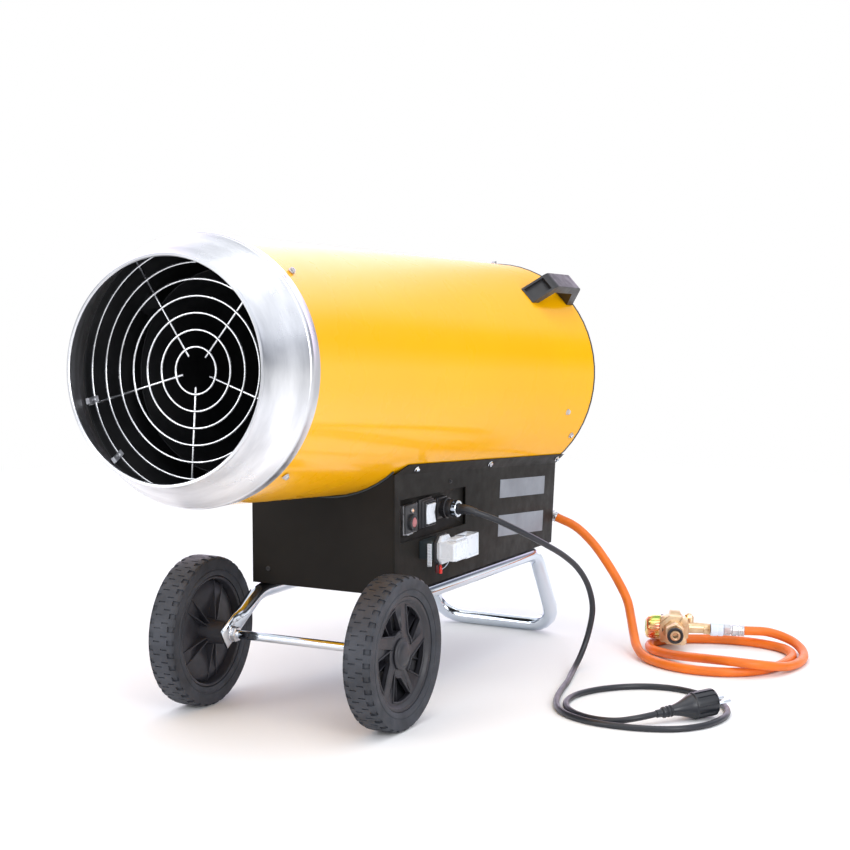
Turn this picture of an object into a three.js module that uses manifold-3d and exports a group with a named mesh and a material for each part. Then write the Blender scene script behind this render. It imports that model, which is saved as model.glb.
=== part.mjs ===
// Gas-fired forced air heater on two wheels and a tube foot, with its mains lead,
// gas hose and pressure regulator lying on the floor beside it.
// Millimetres, +Z up. The outlet faces -Y and the control panel faces +X.
// The origin is on the floor, below the middle of the heater without its leads.
import * as THREE from 'three';
import { mergeVertices } from 'three/addons/utils/BufferGeometryUtils.js';
import Module from 'manifold-3d';

const wasm = await Module();
wasm.setup();

// ---------------------------------------------------------------- driving dimensions

const gap = 0.3;                    // clearance between touching pieces
const tau = 2 * Math.PI;
const degrees = Math.PI / 180;

// casing: a sheet tube that leans back, outlet high
const casingRadius = 165;
const casingWall = 1.5;
const casingLength = 837;
const casingLean = 5.73 * degrees;
const ringY = -384;                 // front rim of the casing on its axis
const casingUnderside = 316;         // height of the front rim's lowest point, were it upright
const ringZ = casingUnderside + casingRadius;
const casingBead = 1.2;             // height of the rolled bead round the rear rim
const casingBeadWidth = 4;

// outlet cone
const coneLength = 72;
const lipRadius = casingRadius - 28.5;
const lipRoll = 2.4;                // radius of the rolled lip
const coneWall = 1;
const coneBand = 12;                // band that slips over the casing
const coneRidge = 1.2;              // raised ridge in front of the band
const coneRidgeWidth = 9;

// wire guards
const wireRadius = 1.6;
const outletRings = 7;
const outletFirstRing = 28.8;
const guardMargin = 13.2;           // from the largest ring to the casing
const outletRingStep = (casingRadius - guardMargin - outletFirstRing) / (outletRings - 1);
const outletSpokes = 5;
const outletGuardAt = -3;           // along the casing axis from its front rim
const inletRings = 5;
const inletFirstRing = 30;
const inletSpokes = 6;
const inletGuardInset = 8;          // from the casing's rear rim
const ringSegments = 8;             // facets of a ring, before its share by size

// burner and fan inside the casing, measured along its axis
const fanFromRear = 197;
const fanAt = casingLength - fanFromRear;
const fanTipGap = 13;               // from the blades to the casing's outside
const fanRadius = casingRadius - fanTipGap;
const fanBlades = 6;
const fanHubRadius = 34;
const fanHubLength = 34;
const burnerToFan = 170;
const burnerAt = fanAt - burnerToFan;
const burnerRadius = 52;
const burnerDepth = 46;
const burnerTubeRadius = 13;
const burnerTubeLength = 34;
const burnerArms = 3;
const electrodeRadius = 3.5;
const electrodeLength = 62;
const electrodeTip = 1.2;
const electrodeOffset = burnerRadius + electrodeRadius + 1;
const diffuserAt = burnerAt + 10;
const diffuserWall = 2;
const flameTubeSpace = 37;          // from the flame tube to the casing's outside
const flameTubeRadius = casingRadius - flameTubeSpace;
const flameTubeWall = 1.2;
const flameTubeLength = 430;
const flameTubeOverlap = 30;        // of the flame tube round the burner
const flameTubeFrom = burnerAt + flameTubeOverlap - flameTubeLength;
const flameTubeBrackets = 3;
const shaftRadius = 5;
const motorRadius = 47;
const motorLength = 96;
const motorGap = 14;                // from the fan hub to the motor's face
const motorArms = 3;
const pipeRadius = 5;
const armWidth = 24;
const armThickness = 3;

// carry handle on the upper right of the casing
const handleFromRear = 9;           // along the casing
const handleLength = 143;
const handleRear = casingLength - handleFromRear;
const handleFront = handleRear - handleLength;
const handleHeight = 36;
const handleWidth = 27;
const handleAngle = 45 * degrees;   // round the casing from the control side
const handleGripThickness = 13;
const handleLegSlope = 31;
const handleLegThickness = 21;

// base box
const boxHalfWidth = 109.5;
const sheet = 1.5;
const boxFrontY = -82;
const boxRearBottomY = 418;
const boxRearTopY = 431;
const boxFrontZ = 157.4;
const boxRearZ = 148.7;
// the side flange's fold line below the casing axis, a little under where the side panel meets it
const flangeDrop = Math.sqrt(casingRadius ** 2 - boxHalfWidth ** 2) + 7.1;
const flangeRise = 13.5;
const flangeOut = 9;
const flangeFrontCut = 26;
const flangeRearOverhang = 12;

// control plate and what it holds, all on the control side
const windowFrontY = -66;
const windowRearY = 127;
const windowTopZ = foldZ(windowFrontY) - 34;
const windowDrop = 9;               // the top edge of the window falls towards the rear
const windowBottomZ = windowTopZ - 58;
const plateInset = 5;
const plateMargin = 6;
const resetY = -40;
const controlsZ = windowTopZ - 28;
const resetSize = 34;
const resetButtonRadius = 10.5;
const resetButtonProud = 5;
const resetTravel = 2.5;
const rockerY = 8;
const rockerBezelWidth = 36;
const rockerBezelHeight = 40;
const rockerWidth = 24;
const rockerHeight = 29;
const inletY = 55;
const inletZ = controlsZ + 0.5;
const inletFlange = 29;
const inletDepth = 9;
const connectorRadius = 13.5;
const connectorLength = 13;
const clampNutRadius = 11.5;
const clampNutLength = 9;

// multi-pole socket for a remote control, below the switch
const socketY = 8;
const socketZ = windowBottomZ - 17;
const socketBlock = [20, 44, 25];
const socketGasketDepth = 5;
const socketFlange = 38;
const socketFlangeDepth = 3.5;
const hoodDepth = 22;
const hoodWidth = 40;
const hoodHeight = 24;
const leverThickness = 3;
const leverPivotBack = 3;           // hinge line behind the hood's middle
const leverArm = 6;
const leverGrip = 36;

// wheels and axle
const wheelRadius = 101;
const tyreWidth = 40;
const tyreInner = 75;
const tyreShoulder = 3;
const wheelOuterX = boxHalfWidth + 56.5;
const rimGap = 0.4;
const axleY = -154.5;
const axleRadius = 6;
const axleRunningGap = 0.4;
const hubRadius = 15;
const hubCapRadius = 21;
const hubCapDome = 6;
const hubInset = 8;                 // from the tyre's outer face to the hub's
const webThickness = 7;
const webInset = 9;                 // from the tyre's outer face to the web
const windowCount = 5;
const windowInner = 30;
const windowOuter = 63;
const wheelSides = 44;

// frame of bent tube
const frameRadius = 10.7;
const railX = boxHalfWidth - 10.5;
const railFrontY = -86;
const railRearY = 382;
const footY = 458;
const inclineAngle = 30 * degrees;  // of the tube between rail and axle
const railBend = 62;
const kneeBend = 42;
const footBend = 40;
const plateHeight = 29.4;           // flattened tube end that carries the axle
const plateThickness = 4.4;
const plateLead = 19;               // past the axle
const plateTail = 14;
const plateOffset = 5;              // axle below the tube's centre line

// gas inlet, hose and regulator
const inletPipeX = 78;
const hoseRadius = 6.7;
const bulkheadRadius = 10.5;
const bulkheadLength = 9;
const elbowInside = 17;             // from the panel's foot to the elbow's inner end
const ferruleRadius = 8.6;
const ferruleLength = 10;
const capRadius = 17.5;
const capLength = 26;
const regulatorBodyRadius = 25;
const regulatorBodyLength = 30;
const outletLength = 43.5;
const collarRadius = 9.6;
const collarLength = 19.5;
const crimpLength = 30.5;
const inletNutRadius = 15;
const inletNutLength = 20;
const inletReach = 27;              // of the cylinder connection beyond the regulator's drum

// mains lead
const cordRadius = 4.25;
const plugRadius = 18.4;
const plugHeadLength = 34;
const plugNeckLength = 52;
const pinRadius = 2.4;
const pinLength = 19;
const pinSpacing = 19;

// The mains lead's centre line, from the clamp nut to the plug.
const cordRoute = [
  [136.7, 55, 256.5], [146, 55.2, 256.3], [160, 60, 252.3], [177, 73, 244], [195, 94, 230.5],
  [209, 124, 214], [220, 160, 195.5], [228, 198, 175.7], [235, 233, 151.5], [239, 260, 121.6],
  [239, 276, 86.6], [233, 277, 51.5], [228, 263, 22], [229, 237, 7.2], [237, 206, 4.5],
  [248, 170, 4.4], [258, 130, 4.3], [269, 90, 4.3],
  [283, 53, 4.3], [303, 20, 4.3], [330, -3, 4.3], [364, -17, 4.3], [403, -20, 4.3], [442, -14, 4.3],
  [476, 2, 4.3], [499, 30, 4.3], [509, 65, 4.3], [507, 103, 4.3], [491, 138, 4.3], [463, 167, 4.3],
  [430, 189, 4.3], [395, 199, 4.3], [360, 194, 4.3], [328, 174, 4.3], [303, 143, 4.3], [290, 106, 4.3],
  [292, 68, 4.3], [308, 34, 4.4], [335, 9, 4.4], [368, -3, 4.8], [396, -3, 6.6],
  [417.4, 8.3, 9.8], [436, 29, 12.7]];

// The gas hose's centre line, from the inlet elbow to the regulator.
const hoseRoute = [
  [100, 460, 179.4], [129, 463, 167.4], [157, 461, 146.7], [183, 455, 120.7], [207, 446, 93.7],
  [228, 433, 67.9], [242, 415, 45.1], [255, 394, 27.4], [269, 371, 15.6], [287, 349, 9.3],
  [311, 329, 6.9], [340, 313, 6.8], [374, 304, 6.8], [410, 305, 6.8], [442, 317, 6.8], [467, 342, 6.8],
  [481, 377, 6.8], [485, 418, 6.8], [479, 455, 6.8], [459, 485, 6.8], [427, 502, 6.8], [388, 508, 6.8],
  [347, 502, 6.8], [309, 487, 6.8], [278, 462, 6.8], [268, 430, 6.8], [281, 399, 6.8], [313, 375, 8.2],
  [350, 350, 13], [389, 331, 18], [426, 318, 21.4], [458, 318, 21.2], [482, 337, 16.5], [497, 368, 10],
  [503, 407, 7.4], [499, 447, 7.6], [485, 478, 11.8], [460, 501, 18], [424, 507, 24.8],
  [391.5, 492.3, 26.6]];

// where the hose's ferrule meets the elbow, and the elbow's corner behind the rear panel
const hoseStart = new THREE.Vector3(...hoseRoute[0]);
const hoseHeading = routeCurve(hoseRoute).getTangent(0);
const elbowEnd = hoseStart.clone().addScaledVector(hoseHeading, -ferruleLength - 2 * gap);
const elbowReach = (inletPipeX - elbowEnd.x) / hoseHeading.x;
const elbowCorner = elbowEnd.clone().addScaledVector(hoseHeading, elbowReach);
const gasInletZ = elbowCorner.z;

// ---------------------------------------------------------------- materials

function paint(colour, roughness, metalness) {
  return new THREE.MeshStandardMaterial({ color: colour, roughness, metalness });
}
const yellowPaint = paint(0xf5b301, 0.3, 0.1);
const blackPowderCoat = paint(0x1b1a19, 0.55, 0.2);
const galvanised = paint(0xb9bcc2, 0.35, 0.9);
const chrome = paint(0xc9ccd2, 0.12, 1);
const wire = paint(0xc4c8cf, 0.25, 1);
const heatSteel = paint(0x77716a, 0.5, 0.8);
const blackPlastic = paint(0x17171a, 0.5, 0);
const softBlack = paint(0x1d1d1f, 0.6, 0);
const tyreRubber = paint(0x26272a, 0.85, 0);
const whitePlastic = paint(0xe6e8ec, 0.4, 0);
const redPlastic = paint(0x9c2a2f, 0.4, 0);
const brass = paint(0xb99a63, 0.35, 0.9);
const yellowZinc = paint(0xb3a263, 0.25, 1);
const hoseOrange = paint(0xf06a16, 0.45, 0);
const motorGrey = paint(0x4a4d52, 0.5, 0.5);
const ceramic = paint(0xe8e2d2, 0.5, 0);
const copper = paint(0xb5703f, 0.35, 1);

// ---------------------------------------------------------------- geometry helpers

function solid(geometry) {
  const bare = geometry.clone();
  bare.deleteAttribute('normal');
  bare.deleteAttribute('uv');
  const merged = mergeVertices(bare, 1e-4);
  return new wasm.Manifold(new wasm.Mesh({
    numProp: 3,
    vertProperties: new Float32Array(merged.attributes.position.array),
    triVerts: new Uint32Array(merged.index.array),
  }));
}

function toGeometry(manifold) {
  const mesh = manifold.getMesh();
  const geometry = new THREE.BufferGeometry();
  geometry.setAttribute('position', new THREE.BufferAttribute(mesh.vertProperties, 3));
  geometry.setIndex(new THREE.BufferAttribute(mesh.triVerts, 1));
  geometry.computeVertexNormals();
  return geometry;
}

function join(...geometries) {
  return toGeometry(geometries.map(solid).reduce((whole, piece) => whole.add(piece)));
}

function cut(geometry, ...cutters) {
  return toGeometry(cutters.map(solid).reduce((whole, cutter) => whole.subtract(cutter), solid(geometry)));
}

// A box given by its lowest and highest corner.
function block(low, high) {
  const size = high.map((value, i) => value - low[i]);
  const middle = high.map((value, i) => (value + low[i]) / 2);
  return new THREE.BoxGeometry(...size).translate(...middle);
}

// A rod along +Y from y0 to y1.
function rodY(radius, y0, y1, sides = 24) {
  return new THREE.CylinderGeometry(radius, radius, y1 - y0, sides).translate(0, (y0 + y1) / 2, 0);
}

// A rod along +X from x0 to x1.
function rodX(radius, x0, x1, sides = 24) {
  return new THREE.CylinderGeometry(radius, radius, x1 - x0, sides)
    .rotateZ(-Math.PI / 2).translate((x0 + x1) / 2, 0, 0);
}

// A body of revolution about Y from [radius, y] points. The profile closes on itself or on the axis.
function turned(profile, segments) {
  return new THREE.LatheGeometry(profile.map(([r, y]) => new THREE.Vector2(r, y)), segments);
}

function ring(outer, inner, y0, y1, segments) {
  return turned([[inner, y0], [outer, y0], [outer, y1], [inner, y1], [inner, y0]], segments);
}

// A flat outline [a, b] extruded from 0 to depth along its own Z.
function plate(outline, depth) {
  const shape = new THREE.Shape(outline.map(([a, b]) => new THREE.Vector2(a, b)));
  return new THREE.ExtrudeGeometry(shape, { depth, bevelEnabled: false });
}

// A flat outline in the YZ plane, extruded from x0 to x1.
function sidePlate(outline, x0, x1) {
  const stand = new THREE.Matrix4().makeBasis(
    new THREE.Vector3(0, 1, 0), new THREE.Vector3(0, 0, 1), new THREE.Vector3(1, 0, 0));
  return plate(outline, x1 - x0).applyMatrix4(stand).translate(x0, 0, 0);
}

// A flat outline in the XZ plane, extruded from y0 to y1.
function facePlate(outline, y0, y1) {
  const stand = new THREE.Matrix4().makeBasis(
    new THREE.Vector3(1, 0, 0), new THREE.Vector3(0, 0, 1), new THREE.Vector3(0, -1, 0));
  return plate(outline, y1 - y0).applyMatrix4(stand).translate(0, y1, 0);
}

// A closed skin through sections of equal length, with a flat cap on each end.
function loft(sections) {
  const count = sections[0].length;
  const positions = sections.flat().flatMap((p) => [p.x, p.y, p.z]);
  const index = [];
  for (let i = 0; i + 1 < sections.length; i += 1) {
    for (let j = 0; j < count; j += 1) {
      const a = i * count + j;
      const b = i * count + ((j + 1) % count);
      index.push(a, b, a + count, b, b + count, a + count);
    }
  }
  const last = (sections.length - 1) * count;
  for (let j = 1; j + 1 < count; j += 1) {
    index.push(0, j + 1, j);
    index.push(last, last + j, last + j + 1);
  }
  const geometry = new THREE.BufferGeometry();
  geometry.setAttribute('position', new THREE.Float32BufferAttribute(positions, 3));
  geometry.setIndex(index);
  return geometry;
}

// A line through corner points with each inner corner rounded to its own radius.
function rounded(corners, radii, steps) {
  const points = [corners[0].clone()];
  for (let i = 1; i + 1 < corners.length; i += 1) {
    const back = corners[i - 1].clone().sub(corners[i]).normalize();
    const ahead = corners[i + 1].clone().sub(corners[i]).normalize();
    const half = back.angleTo(ahead) / 2;
    if (Math.PI - 2 * half < 1e-3) {
      points.push(corners[i].clone());
      continue;
    }
    const reach = radii[i - 1] / Math.tan(half);
    const centre = back.clone().add(ahead).normalize()
      .multiplyScalar(radii[i - 1] / Math.sin(half)).add(corners[i]);
    const start = corners[i].clone().addScaledVector(back, reach).sub(centre);
    const end = corners[i].clone().addScaledVector(ahead, reach).sub(centre);
    const turn = Math.PI - 2 * half;
    for (let step = 0; step <= steps; step += 1) {
      const along = turn * step / steps;
      const point = start.clone().multiplyScalar(Math.sin(turn - along))
        .addScaledVector(end, Math.sin(along)).divideScalar(Math.sin(turn));
      points.push(point.add(centre));
    }
  }
  points.push(corners[corners.length - 1].clone());
  return points;
}

function routeCurve(route) {
  return new THREE.CatmullRomCurve3(route.map((p) => new THREE.Vector3(...p)), false, 'centripetal');
}

// A round tube along a hand-laid route.
function cable(route, radius, sides, stepLength) {
  const curve = routeCurve(route);
  const section = new THREE.Shape(Array.from({ length: sides }, (_, i) => new THREE.Vector2(
    radius * Math.cos(tau * (i + 0.5) / sides), radius * Math.sin(tau * (i + 0.5) / sides))));
  const steps = Math.min(80, Math.round(curve.getLength() / stepLength));
  return new THREE.ExtrudeGeometry(section, { steps, bevelEnabled: false, extrudePath: curve });
}

function add(parent, name, geometry, material, place) {
  const mesh = new THREE.Mesh(geometry, material);
  mesh.name = name;
  if (place) place(mesh);
  parent.add(mesh);
  return mesh;
}

// ---------------------------------------------------------------- the casing's own frame

const heater = new THREE.Group();

// Inside this group +Y runs back along the casing axis and y = 0 is its front rim.
const casingFrame = new THREE.Group();
casingFrame.position.set(0, ringY, ringZ);
casingFrame.rotation.x = -casingLean;
casingFrame.updateMatrix();
heater.add(casingFrame);

const casingInner = casingRadius - casingWall;
const fromCasing = casingFrame.matrix;
const roundSides = 60;

// The space that the casing takes up, with the clearance that its neighbours keep.
const spaceEnd = casingLength + coneLength;
const beadSpaceFrom = casingLength - casingBeadWidth - gap;
const casingSpace = join(
  rodY(casingRadius + gap, -coneLength, spaceEnd, roundSides),
  rodY(casingRadius + casingBead + gap, beadSpaceFrom, spaceEnd, roundSides)).applyMatrix4(fromCasing);

function buildCasing() {
  const tube = turned([
    [casingInner, 0], [casingRadius, 0], [casingRadius, casingLength - casingBeadWidth],
    [casingRadius + casingBead, casingLength - casingBeadWidth / 2], [casingRadius, casingLength],
    [casingInner, casingLength], [casingInner, 0]], roundSides);
  const pipeHole = rodY(pipeHoleRadius, -casingRadius - 20, -casingRadius * 0.6, 16)
    .rotateX(Math.PI / 2).translate(0, pipeHoleAt, 0);
  return cut(tube, pipeHole);
}

function buildOutletCone() {
  const band = casingRadius + gap;
  const ridgeFoot = -coneRidgeWidth;
  const lipY = -coneLength;
  return turned([
    [band, coneBand], [band, 0], [band - 1, ridgeFoot], [lipRadius - lipRoll, lipY + lipRoll],
    [lipRadius - lipRoll * 1.4, lipY + lipRoll * 0.4], [lipRadius - lipRoll * 0.5, lipY],
    [lipRadius + lipRoll * 0.6, lipY + lipRoll * 0.5], [lipRadius + lipRoll * 0.6, lipY + 2 * lipRoll],
    [band + coneWall - 0.8, ridgeFoot], [band + coneWall + coneRidge * 0.7, ridgeFoot * 0.75],
    [band + coneWall + coneRidge * 0.7, ridgeFoot * 0.25], [band + coneWall, 0],
    [band + coneWall, coneBand], [band, coneBand]], roundSides);
}

// A guard of round wire: rings held by spokes, some of which reach out to the wall.
function buildGuard(rings, first, step, spokes, spokeFrom, reach, turn) {
  const wires = [];
  for (let i = 0; i < rings; i += 1) {
    const radius = first + step * i;
    const around = Math.round(ringSegments + radius / 10);
    wires.push(new THREE.TorusGeometry(radius, wireRadius, 4, around).rotateX(Math.PI / 2));
  }
  for (let i = 0; i < spokes; i += 1) {
    wires.push(rodX(wireRadius * 0.98, spokeFrom, reach, 5).translate(0, wireRadius * 0.9, 0)
      .rotateY(turn + tau * i / spokes));
  }
  return join(...wires);
}

// Flat arms that stand out from a centre piece to the casing's inner wall.
function arms(count, from, to, y, width, thickness, turn) {
  const arm = () => block([from, y, -width / 2], [to, y + thickness, width / 2]);
  return Array.from({ length: count }, (_, i) => arm().rotateY(turn + tau * i / count));
}

// where the gas pipe passes up into the casing, along the casing axis
const pipeHoleAt = burnerAt + burnerDepth + burnerTubeLength + pipeRadius * 2;
const pipeHoleRadius = 26;

function buildFlameTube() {
  const outer = flameTubeRadius;
  const inner = outer - flameTubeWall;
  const end = flameTubeFrom + flameTubeLength;
  const throat = outer * 0.78;       // the rear end draws in to this
  const taperFrom = end - flameTubeOverlap;
  const shell = turned([[inner, flameTubeFrom], [outer, flameTubeFrom], [outer, taperFrom], [throat, end],
    [throat - flameTubeWall, end], [inner, taperFrom], [inner, flameTubeFrom]], 48);
  const reach = Math.sqrt(casingInner ** 2 - (armWidth / 2) ** 2) - gap;
  const front = arms(flameTubeBrackets, outer - flameTubeWall / 2, reach, flameTubeFrom + 20,
    armWidth, armThickness, Math.PI / 2);
  const rear = arms(flameTubeBrackets, outer - flameTubeWall / 2, reach, end - 60,
    armWidth, armThickness, Math.PI / 2);
  return join(shell, ...front, ...rear);
}

function buildBurner() {
  const back = burnerAt + burnerDepth;
  const tubeEnd = back + burnerTubeLength;
  const cup = turned([[0, back], [burnerTubeRadius, back], [burnerTubeRadius, tubeEnd],
    [burnerTubeRadius + 5, tubeEnd], [burnerTubeRadius + 5, back - 4], [burnerRadius, back - 16],
    [burnerRadius, burnerAt], [burnerRadius - 3, burnerAt], [burnerRadius - 3, burnerAt + 22],
    [0, burnerAt + 26]].reverse(), 24);
  const diffuser = ring(burnerRadius + 22, burnerRadius - 1, diffuserAt, diffuserAt + diffuserWall, 24);
  const strapAt = burnerAt + burnerDepth + 20;
  const reach = Math.sqrt(casingInner ** 2 - (armWidth / 2) ** 2) - gap;
  const whole = join(cup, diffuser, ...arms(burnerArms, burnerTubeRadius + 3, reach, strapAt,
    armWidth, armThickness, Math.PI / 2));
  const tipBore = () => rodY(electrodeTip + gap, burnerAt, diffuserAt + 2 * diffuserWall, 12);
  return cut(whole, tipBore().translate(electrodeOffset, 0, 0), tipBore().translate(-electrodeOffset, 0, 0));
}

function buildElectrode() {
  const foot = diffuserAt + diffuserWall + gap;
  const body = rodY(electrodeRadius, foot, foot + electrodeLength * 0.6, 10);
  const tip = rodY(electrodeTip, burnerAt - 12, foot + 1, 6);
  return join(body, tip);
}

function buildFan() {
  const hub = turned([[0, fanAt], [fanHubRadius - 6, fanAt], [fanHubRadius, fanAt + 8],
    [fanHubRadius, fanAt + fanHubLength], [0, fanAt + fanHubLength]], 30);
  const shaft = rodY(shaftRadius, fanAt + fanHubLength - 2, fanAt + fanHubLength + motorGap - 1, 16);
  const blades = [];
  for (let i = 0; i < fanBlades; i += 1) {
    const root = [[-14, 4], [-13, 7], [14, 30], [14, 27]];
    const tip = [[-34, 2], [-33, 4.5], [34, 31], [34, 28.5]];
    const section = (shape, x) => shape.map(([z, y]) => new THREE.Vector3(x, fanAt + y, z));
    blades.push(loft([section(root, fanHubRadius - 4), section(tip, fanRadius * 0.72),
      section(tip.map(([z, y]) => [z * 0.86, y]), fanRadius - 4)]).rotateY(tau * i / fanBlades));
  }
  return join(hub, shaft, ...blades);
}

const motorAt = fanAt + fanHubLength + motorGap;

function buildMotor() {
  const can = turned([[0, motorAt], [14, motorAt], [14, motorAt + 6], [motorRadius - 6, motorAt + 8],
    [motorRadius, motorAt + 14], [motorRadius, motorAt + motorLength - 10],
    [motorRadius - 6, motorAt + motorLength], [0, motorAt + motorLength]], 28);
  return can;
}

function buildMotorBracket() {
  const at = motorAt + motorLength * 0.55;
  const strap = ring(motorRadius + gap + 2.5, motorRadius + gap, at - 12, at + 12, 28);
  const reach = Math.sqrt(casingInner ** 2 - (armWidth / 2) ** 2) - gap;
  return join(strap, ...arms(motorArms, motorRadius + gap + 1, reach, at - armThickness / 2,
    armWidth, armThickness, Math.PI / 2));
}

function buildHandle() {
  const outer = new THREE.Shape();
  const top = handleHeight;
  const shoulder = handleFront + handleLegSlope;
  const heel = handleRear - handleLegSlope * 0.9;
  outer.moveTo(handleFront, gap);
  outer.lineTo(shoulder - 4, top - 5);
  outer.quadraticCurveTo(shoulder, top, shoulder + 8, top);
  outer.lineTo(heel - 8, top);
  outer.quadraticCurveTo(heel, top, heel + 4, top - 5);
  outer.lineTo(handleRear, gap);
  outer.lineTo(handleRear - handleLegThickness, gap);
  outer.lineTo(heel - 12, top - handleGripThickness);
  outer.lineTo(shoulder + 12, top - handleGripThickness);
  outer.lineTo(handleFront + handleLegThickness, gap);
  const bridge = new THREE.ExtrudeGeometry(outer,
    { depth: handleWidth, bevelEnabled: false, curveSegments: 4 });
  // outline (along the casing, outwards) to the casing's frame, width across
  const stand = new THREE.Matrix4().makeBasis(
    new THREE.Vector3(0, 1, 0), new THREE.Vector3(0, 0, 1), new THREE.Vector3(1, 0, 0));
  return bridge.applyMatrix4(stand).translate(-handleWidth / 2, 0, casingRadius);
}

add(casingFrame, 'casing', buildCasing(), yellowPaint);
add(casingFrame, 'outlet_cone', buildOutletCone(), galvanised);
const guardReach = casingInner - gap;
add(casingFrame, 'outlet_guard', buildGuard(outletRings, outletFirstRing, outletRingStep, outletSpokes,
  outletFirstRing - 9, guardReach, Math.PI / 2).translate(0, outletGuardAt + 2 * wireRadius, 0), wire);
const inletStep = (casingInner - guardMargin - inletFirstRing) / (inletRings - 1);
add(casingFrame, 'inlet_guard', buildGuard(inletRings, inletFirstRing, inletStep, inletSpokes,
  inletFirstRing - 4, guardReach, 0).translate(0, casingLength - inletGuardInset, 0), blackPowderCoat);
add(casingFrame, 'flame_tube', buildFlameTube(), heatSteel);
add(casingFrame, 'burner', buildBurner(), heatSteel);
add(casingFrame, 'ignition_electrode', buildElectrode(), ceramic,
  (mesh) => mesh.position.set(electrodeOffset, 0, 0));
add(casingFrame, 'flame_sensor', buildElectrode(), copper,
  (mesh) => mesh.position.set(-electrodeOffset, 0, 0));
add(casingFrame, 'fan', buildFan(), blackPlastic);
add(casingFrame, 'fan_motor', buildMotor(), motorGrey);
add(casingFrame, 'motor_bracket', buildMotorBracket(), galvanised);
add(casingFrame, 'carry_handle', buildHandle(), blackPlastic, (mesh) => {
  mesh.rotation.y = Math.PI / 2 - handleAngle;
});

// ---------------------------------------------------------------- base box

// height of the casing's axis and of the flange fold above the floor at a given y
function axisZ(y) {
  return ringZ - (y - ringY) * Math.tan(casingLean);
}
function foldZ(y) {
  return axisZ(y) - flangeDrop / Math.cos(casingLean);
}
function bottomZ(y) {
  return boxFrontZ + (boxRearZ - boxFrontZ) * (y - boxFrontY) / (boxRearBottomY - boxFrontY);
}

const sideOutline = [[boxFrontY, boxFrontZ], [boxRearBottomY, boxRearZ], [boxRearTopY, foldZ(boxRearTopY)],
  [boxFrontY, foldZ(boxFrontY)]];

// Side panel on the control side, x from the inner to the outer face, with its leaning top flange.
function buildSidePanel() {
  const outside = boxHalfWidth;
  const inside = boxHalfWidth - sheet;
  const wall = sidePlate(sideOutline, inside, outside);
  const bead = 0.5;                 // the flange reaches this far down into the wall
  const point = (x, y, rise) => new THREE.Vector3(x, y, foldZ(y) + rise);
  const rear = boxRearTopY;
  const across = (y, yTop) => [point(inside, y, -bead), point(outside, y, -bead),
    point(outside, y, 0), point(outside + flangeOut, yTop, flangeRise),
    point(inside + flangeOut - 0.4, yTop, flangeRise + 0.5), point(inside, y, 0)];
  const flange = loft([
    across(boxFrontY + 0.5, boxFrontY + flangeFrontCut).reverse(),
    across(rear, rear + flangeRearOverhang).reverse()]);
  return cut(join(wall, flange), casingSpace);
}

function mirrored(geometry) {
  const copy = geometry.clone().scale(-1, 1, 1);
  const index = copy.index.array;
  for (let i = 0; i < index.length; i += 3) [index[i], index[i + 1]] = [index[i + 1], index[i]];
  return copy;
}

const windowOutline = [[windowFrontY, windowBottomZ], [windowRearY, windowBottomZ - windowDrop * 0.4],
  [windowRearY, windowTopZ - windowDrop], [windowFrontY, windowTopZ]];
const plainSide = buildSidePanel();
const controlSide = cut(plainSide,
  sidePlate(windowOutline, boxHalfWidth - 3 * sheet, boxHalfWidth + sheet));

function endPanel(yBottom, yTop, topZ) {
  const half = boxHalfWidth - sheet - gap;
  const zBottom = bottomZ(yBottom) + sheet + gap;
  const corners = [[yBottom, zBottom], [yBottom + sheet, zBottom], [yTop + sheet, topZ], [yTop, topZ]];
  const across = (x) => corners.map(([y, z]) => new THREE.Vector3(x, y, z));
  return cut(loft([across(-half), across(half)]), casingSpace);
}

function buildBaseFloor() {
  const half = boxHalfWidth - sheet - gap;
  const outline = [[boxFrontY, boxFrontZ], [boxRearBottomY, boxRearZ],
    [boxRearBottomY, boxRearZ + sheet], [boxFrontY, boxFrontZ + sheet]];
  return sidePlate(outline, -half, half);
}

add(heater, 'side_panel_right', controlSide, blackPowderCoat);
add(heater, 'side_panel_left', mirrored(plainSide), blackPowderCoat);
add(heater, 'front_panel', endPanel(boxFrontY, boxFrontY, foldZ(boxFrontY)), blackPowderCoat);
add(heater, 'rear_panel', cut(endPanel(boxRearBottomY - sheet, boxRearTopY - sheet, foldZ(boxRearTopY) - 1),
  rodY(9, boxRearBottomY - 20, boxRearTopY + 20, 20).translate(inletPipeX, 0, gasInletZ)), blackPowderCoat);
add(heater, 'base_floor', buildBaseFloor(), blackPowderCoat);

// ---------------------------------------------------------------- controls

const plateFace = boxHalfWidth - plateInset;            // outer face of the control plate
const plateBack = plateFace - sheet;

function buildControlPlate() {
  const low = [windowFrontY - plateMargin, windowBottomZ - windowDrop * 0.4 - plateMargin];
  const high = [windowRearY + plateMargin, windowTopZ + plateMargin];
  const face = sidePlate([[low[0], low[1]], [high[0], low[1]], [high[0], high[1]], [low[0], high[1]]],
    plateBack, plateFace);
  const folds = [block([plateBack, low[0], low[1]], [boxHalfWidth - sheet - gap, high[0], low[1] + sheet]),
    block([plateBack, low[0], high[1] - sheet], [boxHalfWidth - sheet - gap, high[0], high[1]])];
  const holes = [block([0, resetY - 11, controlsZ - 11], [boxHalfWidth, resetY + 11, controlsZ + 11]),
    block([0, rockerY - 15, controlsZ - 17], [boxHalfWidth, rockerY + 15, controlsZ + 17]),
    rodX(11, plateBack - 1, plateFace + 1, 24).translate(0, inletY, inletZ)];
  return cut(join(face, ...folds), ...holes);
}

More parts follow.
